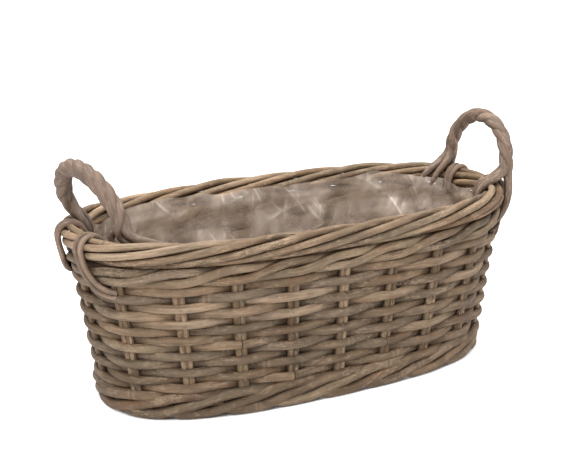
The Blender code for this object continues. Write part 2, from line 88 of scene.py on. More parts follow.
class BasketWallSizes(bpy.types.PropertyGroup):
    """Sizes of the oval wall and of its rods."""

    half_length: length("Half length", "From the middle to the end of the wall at the floor", 215.5)
    half_width: length("Half width", "From the middle to the side of the wall at the floor", 97.0)
    end_lean: angle("End lean", "How far the ends lean out", 8.2)
    side_lean: angle("Side lean", "How far the long sides lean out", 6.6)
    squareness: share("Squareness", "Power of the oval: 2 is an ellipse, more is squarer", 2.6)
    pairs: count("Stake pairs", "Upright pairs of rods", 20)
    rows: count("Rows", "Plain rows in the wall", 13)
    stake: length("Stake", "Thickness of a stake", 6.6)
    stake_fullness: share("Stake fullness", "How much thicker a stake looks than its solid", 1.08)
    pair_spread: share("Pair spread", "From a pair's middle to its rod's middle, in the rod's radii", 0.82)
    row: length("Row rod", "Thickness of a row's rod", 8.4)
    wale: length("Wale rod", "Thickness of a wale's rod", 8.4)
    row_gap: length("Row gap", "Gap between one row and the next where they cross", 0.5)
    wale_gap: length("Wale gap", "Gap between the rods of a wale", 2.8)
    clearance: length("Clearance", "Gap between a rod and the stakes that it passes", 0.3)
    depth: share("Depth", "Depth of a woven rod, as a share of its thickness", 1.0)
    crossing_height: share("Crossing height", "Height of a rod between pairs, as a share of its depth", 1.22)
    front_height: share("Front height", "Height of a rod in front of a pair, as a share of its depth", 1.15)
    back_height: share("Back height", "Height of a rod behind a pair, as a share of its depth", 2.06)
    wale_fullness: share("Wale fullness", "How much taller the foot wale's rod is than a row's", 1.16)
    back_sag: length("Back sag", "How much lower a rod lies behind a pair", 0.6)
    foot_behind: length("Foot behind", "Height of the foot wale's rod behind a pair", 23.0)
    dent: length("Dent", "How deep a woven rod and a stake press into each other", 2.6)
    bulge: length("Bulge", "How far the weave's middle lies outside the wall's middle", 1.5)
    stake_bulge: length("Stake bulge", "How far the stakes lie outside the wall's middle", 3.2)


class BasketBorderSizes(bpy.types.PropertyGroup):
    """Sizes of the rolled border."""

    first_angle: angle("First angle", "Where a stake's rod joins the roll", -110.0)
    turn: angle("Turn", "How far the roll turns from one pair to the next", 55.0)
    passed: share("Pairs passed", "Where a rod of the roll is cut off", 4.5)
    gap: length("Rod gap", "Gap between the rods of the roll", 1.4)
    bend_drop: share("Bend drop", "Height of a stake's bend, in radii under the roll's middle", 1.15)
    passing_drop: share("Passing drop", "Height of the passing rod, in radii under the middle", 0.96)
    short_drop: share("Short rod drop", "Top of the pair's shorter rod, in radii under the middle", 1.44)
    bend_radius: length("Bend radius", "Radius of a stake's bend", 8.0)
    fullness: share("Fullness", "Growth of a rod from the stake to the roll", 0.16)


class BasketBaseSizes(bpy.types.PropertyGroup):
    """Sizes of the base."""

    stick: length("Stick", "Thickness of a stick that crosses the base", 8.0)
    long_share: share("Long stick", "Thickness of a lengthwise stick, as a share of a crossing one's", 0.88)
    weaver: length("Weaver", "Thickness of a rod woven through the sticks", 6.2)
    level: length("Level", "Height of the sticks' middle", 12.17)
    lane: length("Lane", "From one lengthwise stick to the next", 13.0)
    overhang: length("Overhang", "From the last crossing stick to a lengthwise one's end or bend", 6.0)
    rounds: count("Rounds", "How often each weaver goes round", 4)
    first_inset: length("First inset", "From the stakes' feet in to the first round", 0.6)
    round_gap: length("Round gap", "Gap between one round and the next", 0.5)
    bulge: length("Bulge", "How far the first round bulges out between the stakes", 4.8)


class BasketHandleSizes(bpy.types.PropertyGroup):
    """Sizes of the rope handles and their lashings; heights run along the lean, from the roll's middle."""

    half_spread: length("Half spread", "Half the handle's width at its widest", 55.3)
    foot_half_spread: length("Foot half spread", "Half the distance between the legs at the border", 37.0)
    top: length("Top", "Top of the rope's middle", 80.2)
    bow_radius: length("Bow radius", "Height of the bow's round part", 51.0)
    bow_start: angle("Bow start", "How far the bow turns in at its feet", -2.0)
    split: length("Split", "Where the strands part, over the border", 26.0)
    turn_rise: length("Turn rise", "Height over which the left bow turns out of the end's plane", 35.0)
    left_lean: angle("Left lean", "How far the left handle leans out", 17.1)
    left_turn: angle("Left turn", "How far the left bow is turned", 9.7)
    left_set_in: length("Left set in", "How far inside the roll's middle the left legs stand", 22.2)
    right_lean: angle("Right lean", "How far the right handle leans out", 7.0)
    right_set_out: length("Right set out", "How far outside the roll's middle the right legs stand", 4.0)
    left_growth: share("Left growth", "How much thicker the left rope is than the right one", 1.17)
    third_turns: count("Third turns", "Thirds of a turn of the rope", 10)
    strand: length("Strand", "Thickness of a strand as laid", 11.3)
    strand_offset: length("Strand offset", "From the rope's middle to a strand's", 3.1)
    leg_pitch: length("Leg pitch", "From one strand to the next where they part over the border", 8.2)
    outer_leg_drop: length("Outer leg drop", "Length of a leg on the outside, under the roll's middle", 24.0)
    left_fan: length("Left fan", "How far the left front leg's strands run along the rim", 58.0)
    right_fan: length("Right fan", "How far the right back leg's strands run along the rim", 20.0)
    lashing: length("Lashing", "Thickness of a lashing", 5.0)
    lashing_fullness: share("Lashing fullness", "How much thicker a lashing looks than its solid", 1.24)
    lashing_gap: length("Lashing gap", "Gap between the two lashings of a leg", 0.6)
    lashing_drop: length("Lashing drop", "How far a lashing reaches down under the roll's middle", 44.0)
    lashing_sweep: length("Lashing sweep", "How far a lashing curves along the wall under its leg", 34.0)


class BasketLinerSizes(bpy.types.PropertyGroup):
    """Sizes of the film liner."""

    edge: length("Edge", "Height of the film's edge over the wall's top", 16.0)
    bottom: length("Bottom", "Height of the film's bottom", 24.5)
    corner: length("Corner", "Radius between the bottom and the wall", 18.0)
    gap: length("Gap", "Gap between the weave and the film", 1.0)
    ripple: length("Ripple", "Height of the folds across the bottom", 2.0)
    # width of the painted highlight along a sharp fold
    crease: length("Crease", "Half width of a sharp fold's line", 1.8)


class BasketFinish(bpy.types.PropertyGroup):
    """Colours of the weathered rods, of their cut ends and of the film."""

    # also paints light onto the rods' open faces, beside the bleaching
    pale: colour("Bleached", "Rods bleached by the weather", (0.340, 0.248, 0.168))
    taupe: colour("Taupe", "Most of the rods", (0.192, 0.122, 0.073))
    olive: colour("Olive", "Greener rods", (0.145, 0.098, 0.053))
    brown: colour("Brown", "Reddish rods", (0.158, 0.088, 0.048))
    # also paints the shade in the crevices where rods shelter each other, beside dirt, rings and specks
    dark: colour("Crevice", "Dirt between the rods", (0.052, 0.027, 0.013))
    straw: colour("Cut end", "Fresh wood at the cut ends", (0.360, 0.270, 0.170))
    # the warm tint is partly the film's own milkiness and partly a painted reflection of the brown weave
    # round it
    film: colour("Film", "Haze of the liner", (0.860, 0.700, 0.575))


class BasketStageSizes(bpy.types.PropertyGroup):
    """The floor and the camera."""

    azimuth: angle("Azimuth", "Camera's direction round the basket", -27.5)
    elevation: angle("Elevation", "Camera's height over the horizon", 18.0)
    roll: angle("Roll", "Tilt of the picture", -0.9)
    distance: length("Distance", "From the camera to the point that it looks at", 1500.0)
    target: length("Target height", "Height of the point that the camera looks at", 94.3)
    focal: share("Focal length", "In widths of the picture", 1358.0 / 573.0)
    shift_x: share("Shift across", "In widths of the picture", -5.7 / 573.0)
    shift_y: share("Shift up", "In widths of the picture", 56.3 / 573.0)
    floor: length("Floor", "Side of the square floor", 9000.0)


# The wall's oval, and smooth routes on it


# the wall runs straight from the oval on the floor to the one at this height
HIGH_OVAL = 200 * MM
OVAL_STEPS = 1440


def basket_plan(scene):
    """All sizes, with the ones that follow from them, as the solids have them."""
    wall, border = scene.basket_wall, scene.basket_border
    p = SimpleNamespace(wall=wall, border=border, base=scene.basket_base, handle=scene.basket_handle,
                        liner=scene.basket_liner)
    # the rods' radii
    p.stake, p.row, p.wale = wall.stake / 2, wall.row / 2, wall.wale / 2
    p.stick, p.weaver = p.base.stick / 2, p.base.weaver / 2
    p.pair_spread = p.stake * wall.pair_spread
    p.wale_step = wall.wale + wall.wale_gap
    p.row_pitch = wall.row + wall.row_gap
    p.foot_low = wall.clearance + p.wale
    p.first_row = p.foot_low + 2 * p.wale_step + p.wale + p.row + wall.row_gap
    p.top_low = p.first_row + (wall.rows - 1) * p.row_pitch + p.wale + p.row + wall.row_gap
    p.top_high = p.top_low + p.wale_step
    p.crown = p.top_high + p.wale + wall.clearance
    p.roll = (wall.stake + border.gap) / (2 * math.sin(border.turn / 2))
    p.middle = p.crown + p.stake + border.passing_drop * p.roll
    p.ovals = [oval(wall, 0.0), oval(wall, HIGH_OVAL)]
    return p


def oval(wall, height):
    """The oval at a height: x, y and the share of the way round, from the left end, and its length."""
    a = wall.half_length + height * math.tan(wall.end_lean)
    b = wall.half_width + height * math.tan(wall.side_lean)
    angles = np.linspace(math.pi, 3 * math.pi, OVAL_STEPS + 1)
    cosines, sines = np.cos(angles), np.sin(angles)
    x = a * np.sign(cosines) * np.abs(cosines) ** (2 / wall.squareness)
    y = b * np.sign(sines) * np.abs(sines) ** (2 / wall.squareness)
    way = travelled(np.column_stack((x, y)))
    return x, y, way / way[-1], way[-1]


def wall_points(p, stakes, heights, outs=0.0, along=0.0):
    """Points by pair number, height, distance out from the wall's middle and distance along it."""
    stakes, heights, outs, along = np.broadcast_arrays(
        *(np.asarray(values, float) for values in (stakes, heights, outs, along)))
    low, high = p.ovals
    part = heights / HIGH_OVAL
    turn = stakes / p.wall.pairs + along / (low[3] + (high[3] - low[3]) * part)

    def at(turns):
        turns = turns % 1
        ends = [[np.interp(turns, level[2], level[axis]) for axis in (0, 1)] for level in (low, high)]
        return [ends[0][axis] + (ends[1][axis] - ends[0][axis]) * part for axis in (0, 1)]

    quarter = 0.25 / p.wall.pairs
    (x0, y0), (x1, y1), (x, y) = at(turn - quarter), at(turn + quarter), at(turn)
    size = np.hypot(x1 - x0, y1 - y0)
    return np.stack((x + outs * (y1 - y0) / size, y - outs * (x1 - x0) / size, heights), axis=-1)


def flowing(places, values, at):
    """Smooth values between keys, level at each high and low, so that a rod doesn't overshoot."""
    places, values = np.asarray(places, float), np.asarray(values, float)
    steps = np.diff(places)
    slopes = np.diff(values) / steps
    before, after = slopes[:-1], slopes[1:]
    same = before * after > 0
    inner = np.where(same, 2 * before * after / np.where(same, before + after, 1.0), 0.0)
    tangents = np.concatenate(([slopes[0]], inner, [slopes[-1]]))
    index = np.clip(np.searchsorted(places, at, side="right") - 1, 0, len(steps) - 1)
    u = np.clip((at - places[index]) / steps[index], 0, 1)
    rise = values[index + 1] - values[index]
    return (values[index] + rise * u * u * (3 - 2 * u)
            + steps[index] * u * (1 - u) * (tangents[index] * (1 - u) - tangents[index + 1] * u))


def travelled(points):
    """The distance to each point of a route."""
    return np.concatenate(([0.0], np.cumsum(np.linalg.norm(np.diff(points, axis=0), axis=1))))


def evened(points, spacing, softness=0):
    """A route with its points evenly spaced, its corners rounded by so many rounds of averaging."""
    for _ in range(2):
        way = travelled(points)
        at = np.linspace(0, way[-1], max(round(way[-1] / spacing), 2) + 1)
        points = np.stack([np.interp(at, way, points[:, axis]) for axis in range(3)], axis=-1)
        for _ in range(softness):
            points[1:-1] = (points[:-2] + 2 * points[1:-1] + points[2:]) / 4
    return points


def risen(places, start, finish):
    """A rise from 0 to 1 between two places, level before and after them."""
    return np.clip((places - start) / (finish - start), 0, 1)


def wander(rng, way, every, most):
    """Smooth random values along a route."""
    keys = np.linspace(way[0] - every * rng.random(), way[-1] + every, int((way[-1] - way[0]) / every) + 3)
    return flowing(keys, rng.uniform(-most, most, len(keys)), way)


# Rods


# from one point of a rod to the next, and the points round it
SPACING, SIDES = 2.5 * MM, 14
# length of the bevel at a cut end, the radius left at its edge, and the end's middle, in bevels
END_BEVEL, END_RADIUS, END_MIDDLE = 0.35 * MM, 0.88, 1.2
# how far apart a rod's slow and quick swellings are, and its bends
SLOW_SWELL, QUICK_SWELL, SWAY_WAVE = 50 * MM, 12 * MM, 30 * MM
# a knot's distance to the next in metres, its length and how much thicker the rod is there
KNOT_EVERY, KNOT_LENGTH, KNOT_SWELL = 0.4, 2.8 * MM, 0.06
# how far apart the grain of two rods may lie, in metres
GRAIN_APART = 3
WELD = 0.01 * MM
SMOOTH_ANGLE = math.radians(42)


def rod(points, radius, rng, uneven=0.05, sway=0.35 * MM, tall=1.0):
    """A rod's route, its radius and height at each point, and its own shade; no grown rod is even."""
    way = travelled(points)
    radii = np.broadcast_to(np.asarray(radius, float), way.shape)
    radii = radii * (1 + wander(rng, way, SLOW_SWELL, uneven) + wander(rng, way, QUICK_SWELL, uneven * 0.35))
    for knot in np.arange(way[0] + rng.uniform(0.02, KNOT_EVERY), way[-1], KNOT_EVERY):
        radii = radii * (1 + KNOT_SWELL * np.exp(-((way - knot) / KNOT_LENGTH) ** 2))
    points = points + np.stack([wander(rng, way, SWAY_WAVE, sway) for _ in range(3)], axis=-1)
    tall = np.broadcast_to(np.asarray(tall, float), way.shape)
    return SimpleNamespace(points=points, radii=radii, tall=tall, tint=rng.random(), place=rng.random(3))


def with_ends(piece_rod):
    """The route with a bevelled and closed end at both sides, and where the cut wood shows."""
    points, radii = piece_rod.points, piece_rod.radii
    start = (points[0] - points[1]) / np.linalg.norm(points[0] - points[1]) * END_BEVEL
    finish = (points[-1] - points[-2]) / np.linalg.norm(points[-1] - points[-2]) * END_BEVEL
    points = np.concatenate(([points[0] + start * END_MIDDLE, points[0] + start], points,
                             [points[-1] + finish, points[-1] + finish * END_MIDDLE]))
    radii = np.concatenate(([0.0, radii[0] * END_RADIUS], radii, [radii[-1] * END_RADIUS, 0.0]))
    cut = np.pad(np.zeros(len(radii) - 4), 2, constant_values=1.0)
    return points, radii, cut, np.pad(piece_rod.tall, 2, mode="edge")


def add_rods(node, rods, material):
    """One piece of round rods, each swept along its route, in place of its node's solids."""
    bpy.ops.object.select_all(action="DESELECT")
    bpy.ops.curve.primitive_nurbs_path_add()
    curve = bpy.context.object.data
    curve.splines.clear()
    curve.dimensions = "3D"
    curve.bevel_depth = 1.0
    # Blender gives a round bevel four sides, and two more for each step of its resolution
    curve.bevel_resolution = (SIDES - 4) // 2
    space, tints, cuts, middles, stretches = [], [], [], [], []
    turns = np.linspace(0, 2 * math.pi, SIDES, endpoint=False)
    for piece_rod in rods:
        points, radii, cut, tall = with_ends(piece_rod)
        spline = curve.splines.new("POLY")
        spline.points.add(len(points) - 1)
        spline.points.foreach_set("co", np.column_stack((points, np.ones(len(points)))).ravel())
        spline.points.foreach_set("radius", radii)
        straight = np.stack((np.outer(radii, np.cos(turns)), np.outer(radii, np.sin(turns)),
                             np.repeat(travelled(points)[:, None], SIDES, axis=1)), axis=-1)
        space.append((straight + piece_rod.place * GRAIN_APART).reshape(-1, 3))
        tints.append(np.full(len(points) * SIDES, piece_rod.tint))
        cuts.append(np.repeat(cut, SIDES))
        middles.append(np.repeat(points[:, 2], SIDES))
        stretches.append(np.repeat(tall, SIDES))
    bpy.ops.object.convert(target="MESH")
    piece = bpy.context.object
    piece.name = node + "_rods"
    places = points_of(piece)
    middle = np.concatenate(middles)
    places[:, 2] = middle + (places[:, 2] - middle) * np.concatenate(stretches)
    piece.data.vertices.foreach_set("co", places.ravel())
    add_attribute(piece, "rod_space", np.concatenate(space), "FLOAT_VECTOR", "vector")
    add_attribute(piece, "rod_tint", np.concatenate(tints))
    add_attribute(piece, "rod_cut", np.concatenate(cuts))
    piece.data.uv_layers.remove(piece.data.uv_layers[0])
    close_seams()
    bpy.ops.object.shade_smooth_by_angle(angle=SMOOTH_ANGLE)
    finish_piece(piece, node, material)


def points_of(piece):
    """The places of a mesh's points, one in each row."""
    places = np.empty(len(piece.data.vertices) * 3)
    piece.data.vertices.foreach_get("co", places)
    return places.reshape(-1, 3)


def add_attribute(piece, name, values, kind="FLOAT", key="value"):
    """Values at a mesh's points, for its material."""
    piece.data.attributes.new(name, kind, "POINT").data.foreach_set(key, values.ravel())


def close_seams():
    """Merge the points that meet on the selected piece, and turn its faces outwards."""
    bpy.ops.object.mode_set(mode="EDIT")
    bpy.ops.mesh.select_all(action="SELECT")
    bpy.ops.mesh.remove_doubles(threshold=WELD)
    bpy.ops.mesh.normals_make_consistent(inside=False)
    bpy.ops.object.mode_set(mode="OBJECT")


def finish_piece(piece, node, material):
    """Give a piece its material, and put it in its node's place."""
    piece.data.materials.clear()
    piece.data.materials.append(material)
    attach(piece, "root")
    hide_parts(node)


# Materials


class Shading:
    """The shader nodes of a material or of the world, added and linked one by one."""

    def __init__(self, tree):
        self.tree = tree

    def link(self, value, socket):
        """Link a socket to a node's result, or set it to a plain value."""
        if isinstance(value, bpy.types.NodeSocket):
            self.tree.links.new(value, socket)
        else:
            socket.default_value = value

    def add(self, kind, inputs=None, **settings):
        """A node with its settings and its inputs."""
        node = self.tree.nodes.new("ShaderNode" + kind)
        for key, value in settings.items():
            setattr(node, key, value)
        for key, value in (inputs or {}).items():
            self.link(value, node.inputs[key])
        return node

    def attribute(self, name, output="Fac"):
        """A value that the mesh holds at its points."""
        return self.add("Attribute", attribute_name=name).outputs[output]

    def maths(self, operation, first, second=0.0, clamp=False):
        """A Math node's result."""
        return self.add("Math", {0: first, 1: second}, operation=operation, use_clamp=clamp).outputs[0]

    def times(self, first, second):
        """One value times the other."""
        return self.maths("MULTIPLY", first, second)

    def plus(self, first, second):
        """One value plus the other."""
        return self.maths("ADD", first, second)

    def ranged(self, value, low, high, to_low=0.0, to_high=1.0):
        """A value brought from one range to another, and kept in it."""
        return self.add("MapRange", {0: value, 1: low, 2: high, 3: to_low, 4: to_high}).outputs[0]

    def mixed(self, part, first, second, blend="MIX"):
        """A mix of two colours."""
        return self.add("Mix", {0: part, 6: first, 7: second}, data_type="RGBA", blend_type=blend).outputs[2]

    def noise(self, place, scale=1.0, **inputs):
        """Cloudy noise from 0 to 1."""
        return self.add("TexNoise", {"Vector": place, "Scale": scale, **inputs}).outputs["Fac"]

    def bump(self, shader, height, strength, depth):
        """Raise a shader's surface where the height is more."""
        bump = self.add("Bump", {"Strength": strength, "Distance": depth, "Height": height})
        self.link(bump.outputs[0], shader.inputs["Normal"])

    def show(self, kind, inputs):
        """Join shaders, and show the result on the material's surface."""
        output = next(node for node in self.tree.nodes if node.type == "OUTPUT_MATERIAL")
        self.link(self.add(kind, inputs).outputs[0], output.inputs["Surface"])


def new_material(name, roughness, specular):
    """A new material, its nodes and its Principled shader."""
    material = bpy.data.materials.new(name)
    material.use_nodes = True
    shader = material.node_tree.nodes["Principled BSDF"]
    shader.inputs["Roughness"].default_value = roughness
    shader.inputs["Specular IOR Level"].default_value = specular
    return material, Shading(material.node_tree), shader


def rattan_material(name, finish, lightness, evenness=1.0, grey=0.0):
    """Weathered rattan: grain along the rod, bleached and dirty patches, painted shade where the rods
    shelter each other, rings, specks and cut ends.
    """
    material, nodes, shader = new_material(name, 0.7, 0.28)
    ranged, times, plus = nodes.ranged, nodes.times, nodes.plus
    space = nodes.attribute("rod_space", "Vector")
    tint, cut, shelter = (nodes.attribute(key) for key in ("rod_tint", "rod_cut", "rod_shelter"))

    def tone(values, factor=1.0):
        """A colour of the finish, lightened and greyed for this kind of rod."""
        shift = (1 - 0.04 * grey, 1.0, 1 + 0.20 * grey)
        return (*(min(value * factor * lightness * part, 1.0) for value, part in zip(values, shift)), 1.0)

    def marks(across, along, detail=3.0, roughness=0.55):
        """Noise on the straightened rod, so many marks a metre across it and along it."""
        mapped = nodes.add("Mapping", {"Vector": space, "Scale": (across, across, along)})
        return nodes.noise(mapped.outputs[0], Detail=detail, Roughness=roughness)

    patches, streaks = marks(60, 14), marks(90, 22)
    grain, fine = marks(480, 26, 4.0, 0.70), marks(2600, 150, 3.0, 0.6)
    blotches, specks = marks(220, 90, 4.0, 0.6), marks(800, 320, 2.0, 0.5)
    scuffs, pores = marks(420, 60, 4.0, 0.75), marks(2200, 2200, 2.0, 0.6)
    zone = ranged(marks(50, 20, 2.0), 0.48, 0.60)

    # the hue wanders from brown to bleached, from rod to rod and along each rod
    hue = plus(tint, times(nodes.maths("SUBTRACT", patches, 0.5), 0.9))
    ramp = nodes.add("ValToRGB", {0: hue})
    stops = ((0.02, tone(finish.brown)), (0.16, tone(finish.olive)), (0.40, tone(finish.taupe)),
             (0.66, tone(finish.straw, 0.62)), (0.80, tone(finish.taupe, 1.15)),
             (0.98, tone(finish.pale, 0.95)))
    elements = ramp.color_ramp.elements
    elements[0].position, elements[0].color = stops[0]
    elements[1].position, elements[1].color = stops[-1]
    for position, shade in stops[1:-1]:
        elements.new(position).color = shade
    # every rod is lighter or darker by itself, and again along its length
    second = nodes.maths("FRACT", times(tint, 7.3))
    light = times(ranged(second, 0.0, 1.0, 1 - 0.50 * evenness, 1 + 0.28 * evenness),
                  ranged(streaks, 0.34, 0.66, 0.62, 1.28))
    base = nodes.mixed(1.0, ramp.outputs[0], light, "MULTIPLY")
    base = nodes.mixed(ranged(grain, 0.34, 0.70), nodes.mixed(1.0, base, (0.56, 0.51, 0.46, 1), "MULTIPLY"),
                       nodes.mixed(1.0, base, (1.36, 1.38, 1.40, 1), "MULTIPLY"))

    # a growth ring now and then, dark beside a paler swelling
    along = nodes.add("SeparateXYZ", {0: space}).outputs[2]
    rings = nodes.add("TexVoronoi", {"W": times(along, 1.6), "Scale": 1.0}, voronoi_dimensions="1D")
    uneven_ring = plus(rings.outputs["Distance"], times(blotches, 0.0025))
    ring = ranged(uneven_ring, 0.0042, 0.0028)

    worn = times(ranged(scuffs, 0.50, 0.60), zone)
    wood = nodes.mixed(ranged(pores, 0.38, 0.62), tone(finish.straw, 0.55), tone(finish.straw, 1.05))
    # each layer's place, its strength there and its colour; where the rods shelter each other they are
    # darker, part dirt and part painted shade, and the open faces are paler, part bleaching and part painted
    # light
    layers = (
        (nodes.maths("MAXIMUM", worn, ranged(blotches, 0.54, 0.74)), 0.62, tone(finish.pale, 1.10)),
        (ranged(blotches, 0.44, 0.28), 0.50, tone(finish.brown, 0.55)),
        (ranged(uneven_ring, 0.010, 0.005), 0.30, tone(finish.pale, 1.15)),
        (ring, 0.50, tone(finish.dark, 1.6)),
        (times(ranged(specks, 0.60, 0.68), zone), 0.60, tone(finish.pale, 1.40)),
        (ranged(specks, 0.34, 0.30), 0.60, tone(finish.dark, 1.3)),
        # painted shade, partly dirt: darker where the rods shelter each other
        (ranged(plus(shelter, times(blotches, 0.25)), 0.58, 1.08), 0.86, tone(finish.dark)),
        # painted light, partly bleaching: paler where nothing shelters a face
        (ranged(shelter, 0.34, 0.06), 0.20, tone(finish.pale, 1.20)),
        (cut, 0.85, wood),
    )
    for place, strength, shade in layers:
        base = nodes.mixed(times(place, strength), base, shade)
    nodes.link(base, shader.inputs["Base Color"])

    rough = ranged(plus(times(grain, 0.5), times(fine, 0.5)), 0.35, 0.65, 0.52, 0.82)
    nodes.link(rough, shader.inputs["Roughness"])
    relief = plus(plus(times(grain, 0.55), times(fine, 0.35)), times(blotches, 0.45))
    nodes.bump(shader, nodes.maths("SUBTRACT", relief, times(ring, 0.5)), 0.55, 0.7 * MM)
    return material


def film_material(finish):
    """Clear film with a warm haze, partly a painted reflection of the brown weave, whiter along its folds,
    part stress whitening and part painted highlight, and a sharp shine.
    """
    material, nodes, shader = new_material("liner_film", 0.30, 0.8)
    for key, value in (("Coat Weight", 0.35), ("Coat IOR", 1.6), ("Coat Roughness", 0.20)):
        shader.inputs[key].default_value = value
    place = nodes.add("TexCoord").outputs["Object"]
    crease = nodes.attribute("film_crease_glint")
    haze = nodes.noise(place, 30.0, Detail=4.0, Distortion=0.15)
    fine = nodes.noise(place, 160.0, Detail=3.0)
    # painted highlight, partly stress whitening: whiter and hazier along the sharp folds
    crease_glint = nodes.times(crease, nodes.ranged(haze, 0.44, 0.56))
    # the warm haze colour is partly a painted reflection of the weave
    tint = nodes.mixed(crease_glint, (*finish.film, 1.0), (0.92, 0.84, 0.76, 1.0))
    tint = nodes.mixed(nodes.times(fine, 0.35), tint, (0.45, 0.36, 0.29, 1.0))
    nodes.link(tint, shader.inputs["Base Color"])
    part = nodes.maths("ADD", nodes.ranged(haze, 0.34, 0.68, 0.22, 0.56), nodes.times(crease_glint, 0.32), True)
    # painted shade: the haze thins towards the bottom, which the top lamp lights head on
    height = nodes.add("SeparateXYZ", {0: place}).outputs["Z"]
    part = nodes.times(part, nodes.ranged(height, 28 * MM, 70 * MM, 0.45, 1.0))
    clear = nodes.add("BsdfTransparent").outputs[0]
    nodes.show("MixShader", {0: part, 1: clear, 2: shader.outputs[0]})
    nodes.bump(shader, fine, 0.35, 1.5 * MM)
    return material


def floor_material():
    """A pale floor that takes the shadow and shows white to the camera."""
    material, nodes, shader = new_material("pale_floor", 0.9, 0.1)
    place = nodes.add("TexCoord").outputs["Object"]
    tone = nodes.mixed(nodes.noise(place, 3.0), (0.86, 0.86, 0.86, 1), (0.90, 0.90, 0.90, 1))
    nodes.link(tone, shader.inputs["Base Color"])
    # painted shadow: the floor's glow is left out in the basket's footprint, so the floor seen through the
    # weave stays dark
    axes = nodes.add("SeparateXYZ", {0: place})
    parts = [nodes.maths("POWER", nodes.maths("ABSOLUTE", nodes.maths("DIVIDE", axes.outputs[axis], half)),
                         2.6) for axis, half in (("X", 225 * MM), ("Y", 106 * MM))]
    clear = nodes.ranged(nodes.plus(*parts), 0.92, 1.0, 0.0, 0.55)
    seen = nodes.add("LightPath").outputs["Is Camera Ray"]
    glow = nodes.add("Emission", {"Strength": nodes.times(seen, clear)})
    nodes.show("AddShader", {0: shader.outputs[0], 1: glow.outputs[0]})
    return material


# Stakes and the weave


class BASKET_OT_stakes(bpy.types.Operator):
    """Twenty pairs of stakes, one rod of each turned down and rolled into the border"""

    bl_idname = "basket.stakes"
    bl_label = "Stakes and border"

    # height of a stake's foot, and the lengths over which a stake bends out and a rod grows
    foot, settling, growing = 1.0 * MM, 20 * MM, 30 * MM
    # how far a bend moves in, and how far outside the roll's middle a rod passes, in the roll's radii
    bend_set_in, passing_out = 1.2 * MM, 0.1
    # how many pairs past its solid's end a rod runs
    overrun = (0.5, 1.3)
    # how much wider the roll is at its top, and that place and its width in radians
    swell, swell_angle, swell_width = (0.08, 0.34), 1.25, 0.75
    # the radius left at a rod's end, and the length over which it thins
    tip, tip_length = 0.62, 16 * MM
    # where the shorter rod's laid part begins, ends and has risen, in pairs
    laid_from, laid_to, laid_rise = 0.35, 3.4, 0.5
    # how far it lies under and inside the roll's middle, in the roll's radii, and how much it grows
    laid_under, laid_inside, laid_growth = 0.25, 0.45, 0.28

    def execute(self, context):
        p = basket_plan(context.scene)
        material = rattan_material("stake_rattan", context.scene.basket_finish, lightness=1.24)
        for stake in range(p.wall.pairs):
            rng = np.random.default_rng(SEEDS["stakes"] + stake)
            rods = [self.long_rod(p, stake, rng), self.short_rod(p, stake, rng)]
            add_rods(f"stake_pair_{stake + 1:02d}", rods, material)
        return {"FINISHED"}

    def upright(self, p, stake, top, along):
        """Up the wall from the floor, bulging out between the foot and the border."""
        heights = np.linspace(self.foot, top, 24)
        half = self.settling / 2
        bulging = risen(heights, 0, self.settling) * (1 - risen(heights, p.crown - half, p.crown + half))
        return wall_points(p, stake, heights, p.wall.stake_bulge * bulging, along)

    def long_rod(self, p, stake, rng):
        """Up the wall, over to the right, and round the roll to its cut end inside."""
        border, radius = p.border, p.border.bend_radius
        bend = p.middle - border.bend_drop * p.roll
        up = self.upright(p, stake, bend - radius, p.pair_spread)
        turn = np.linspace(0, math.pi / 2, 9)
        over = wall_points(p, stake, bend - radius * (1 - np.sin(turn)), -self.bend_set_in * np.sin(turn),
                           p.pair_spread + radius * (1 - np.cos(turn)))
        passing = wall_points(p, stake + 0.5, p.middle - border.passing_drop * p.roll,
                              self.passing_out * p.roll)
        passed = np.linspace(1, border.passed + rng.uniform(*self.overrun), 50)
        angles = border.first_angle + border.turn * passed
        swelling = np.exp(-((angles - self.swell_angle) / self.swell_width) ** 2)
        roll = p.roll * (1 + rng.uniform(*self.swell) * swelling)
        round_it = wall_points(p, stake + passed, p.middle + roll * np.sin(angles), roll * np.cos(angles))
        points = evened(np.concatenate((up[:-1], over, passing[None], round_it)), SPACING, 6)
        way = travelled(points)
        half = way[-1] / 2
        growth = (1 + border.fullness - p.wall.stake_fullness) * risen(way, half, half + self.growing)
        radii = p.stake * (p.wall.stake_fullness + growth)
        radii = radii * (self.tip + (1 - self.tip) * risen(way[-1] - way, 0, self.tip_length) ** 0.5)
        return rod(points, radii, rng, sway=0.4 * MM)

    def short_rod(self, p, stake, rng):
        """The pair's other rod, bent over under the border and laid along in the middle of the roll."""
        top = p.middle - p.border.short_drop * p.roll
        up = self.upright(p, stake, top, -p.pair_spread)
        laid = np.linspace(self.laid_from, self.laid_to, 32)
        rising = risen(laid, self.laid_from, self.laid_from + self.laid_rise)
        along = wall_points(p, stake + laid, top + (p.middle - self.laid_under * p.roll - top) * rising,
                            -self.laid_inside * p.roll * rising)
        points = evened(np.concatenate((up, along)), SPACING, 6)
        core = 1 + self.laid_growth * risen(travelled(points), top, top + self.growing)
        return rod(points, p.stake * p.wall.stake_fullness * core, rng, sway=0.3 * MM)


# from one point of a woven route to the next, in pairs
FINENESS = 0.04
# between the floor and the lowest rod, and from a length's end to the middle of the pair where it
# meets the next
FLOOR_GAP, JOINT_GAP = 0.9 * MM, 1.2 * MM


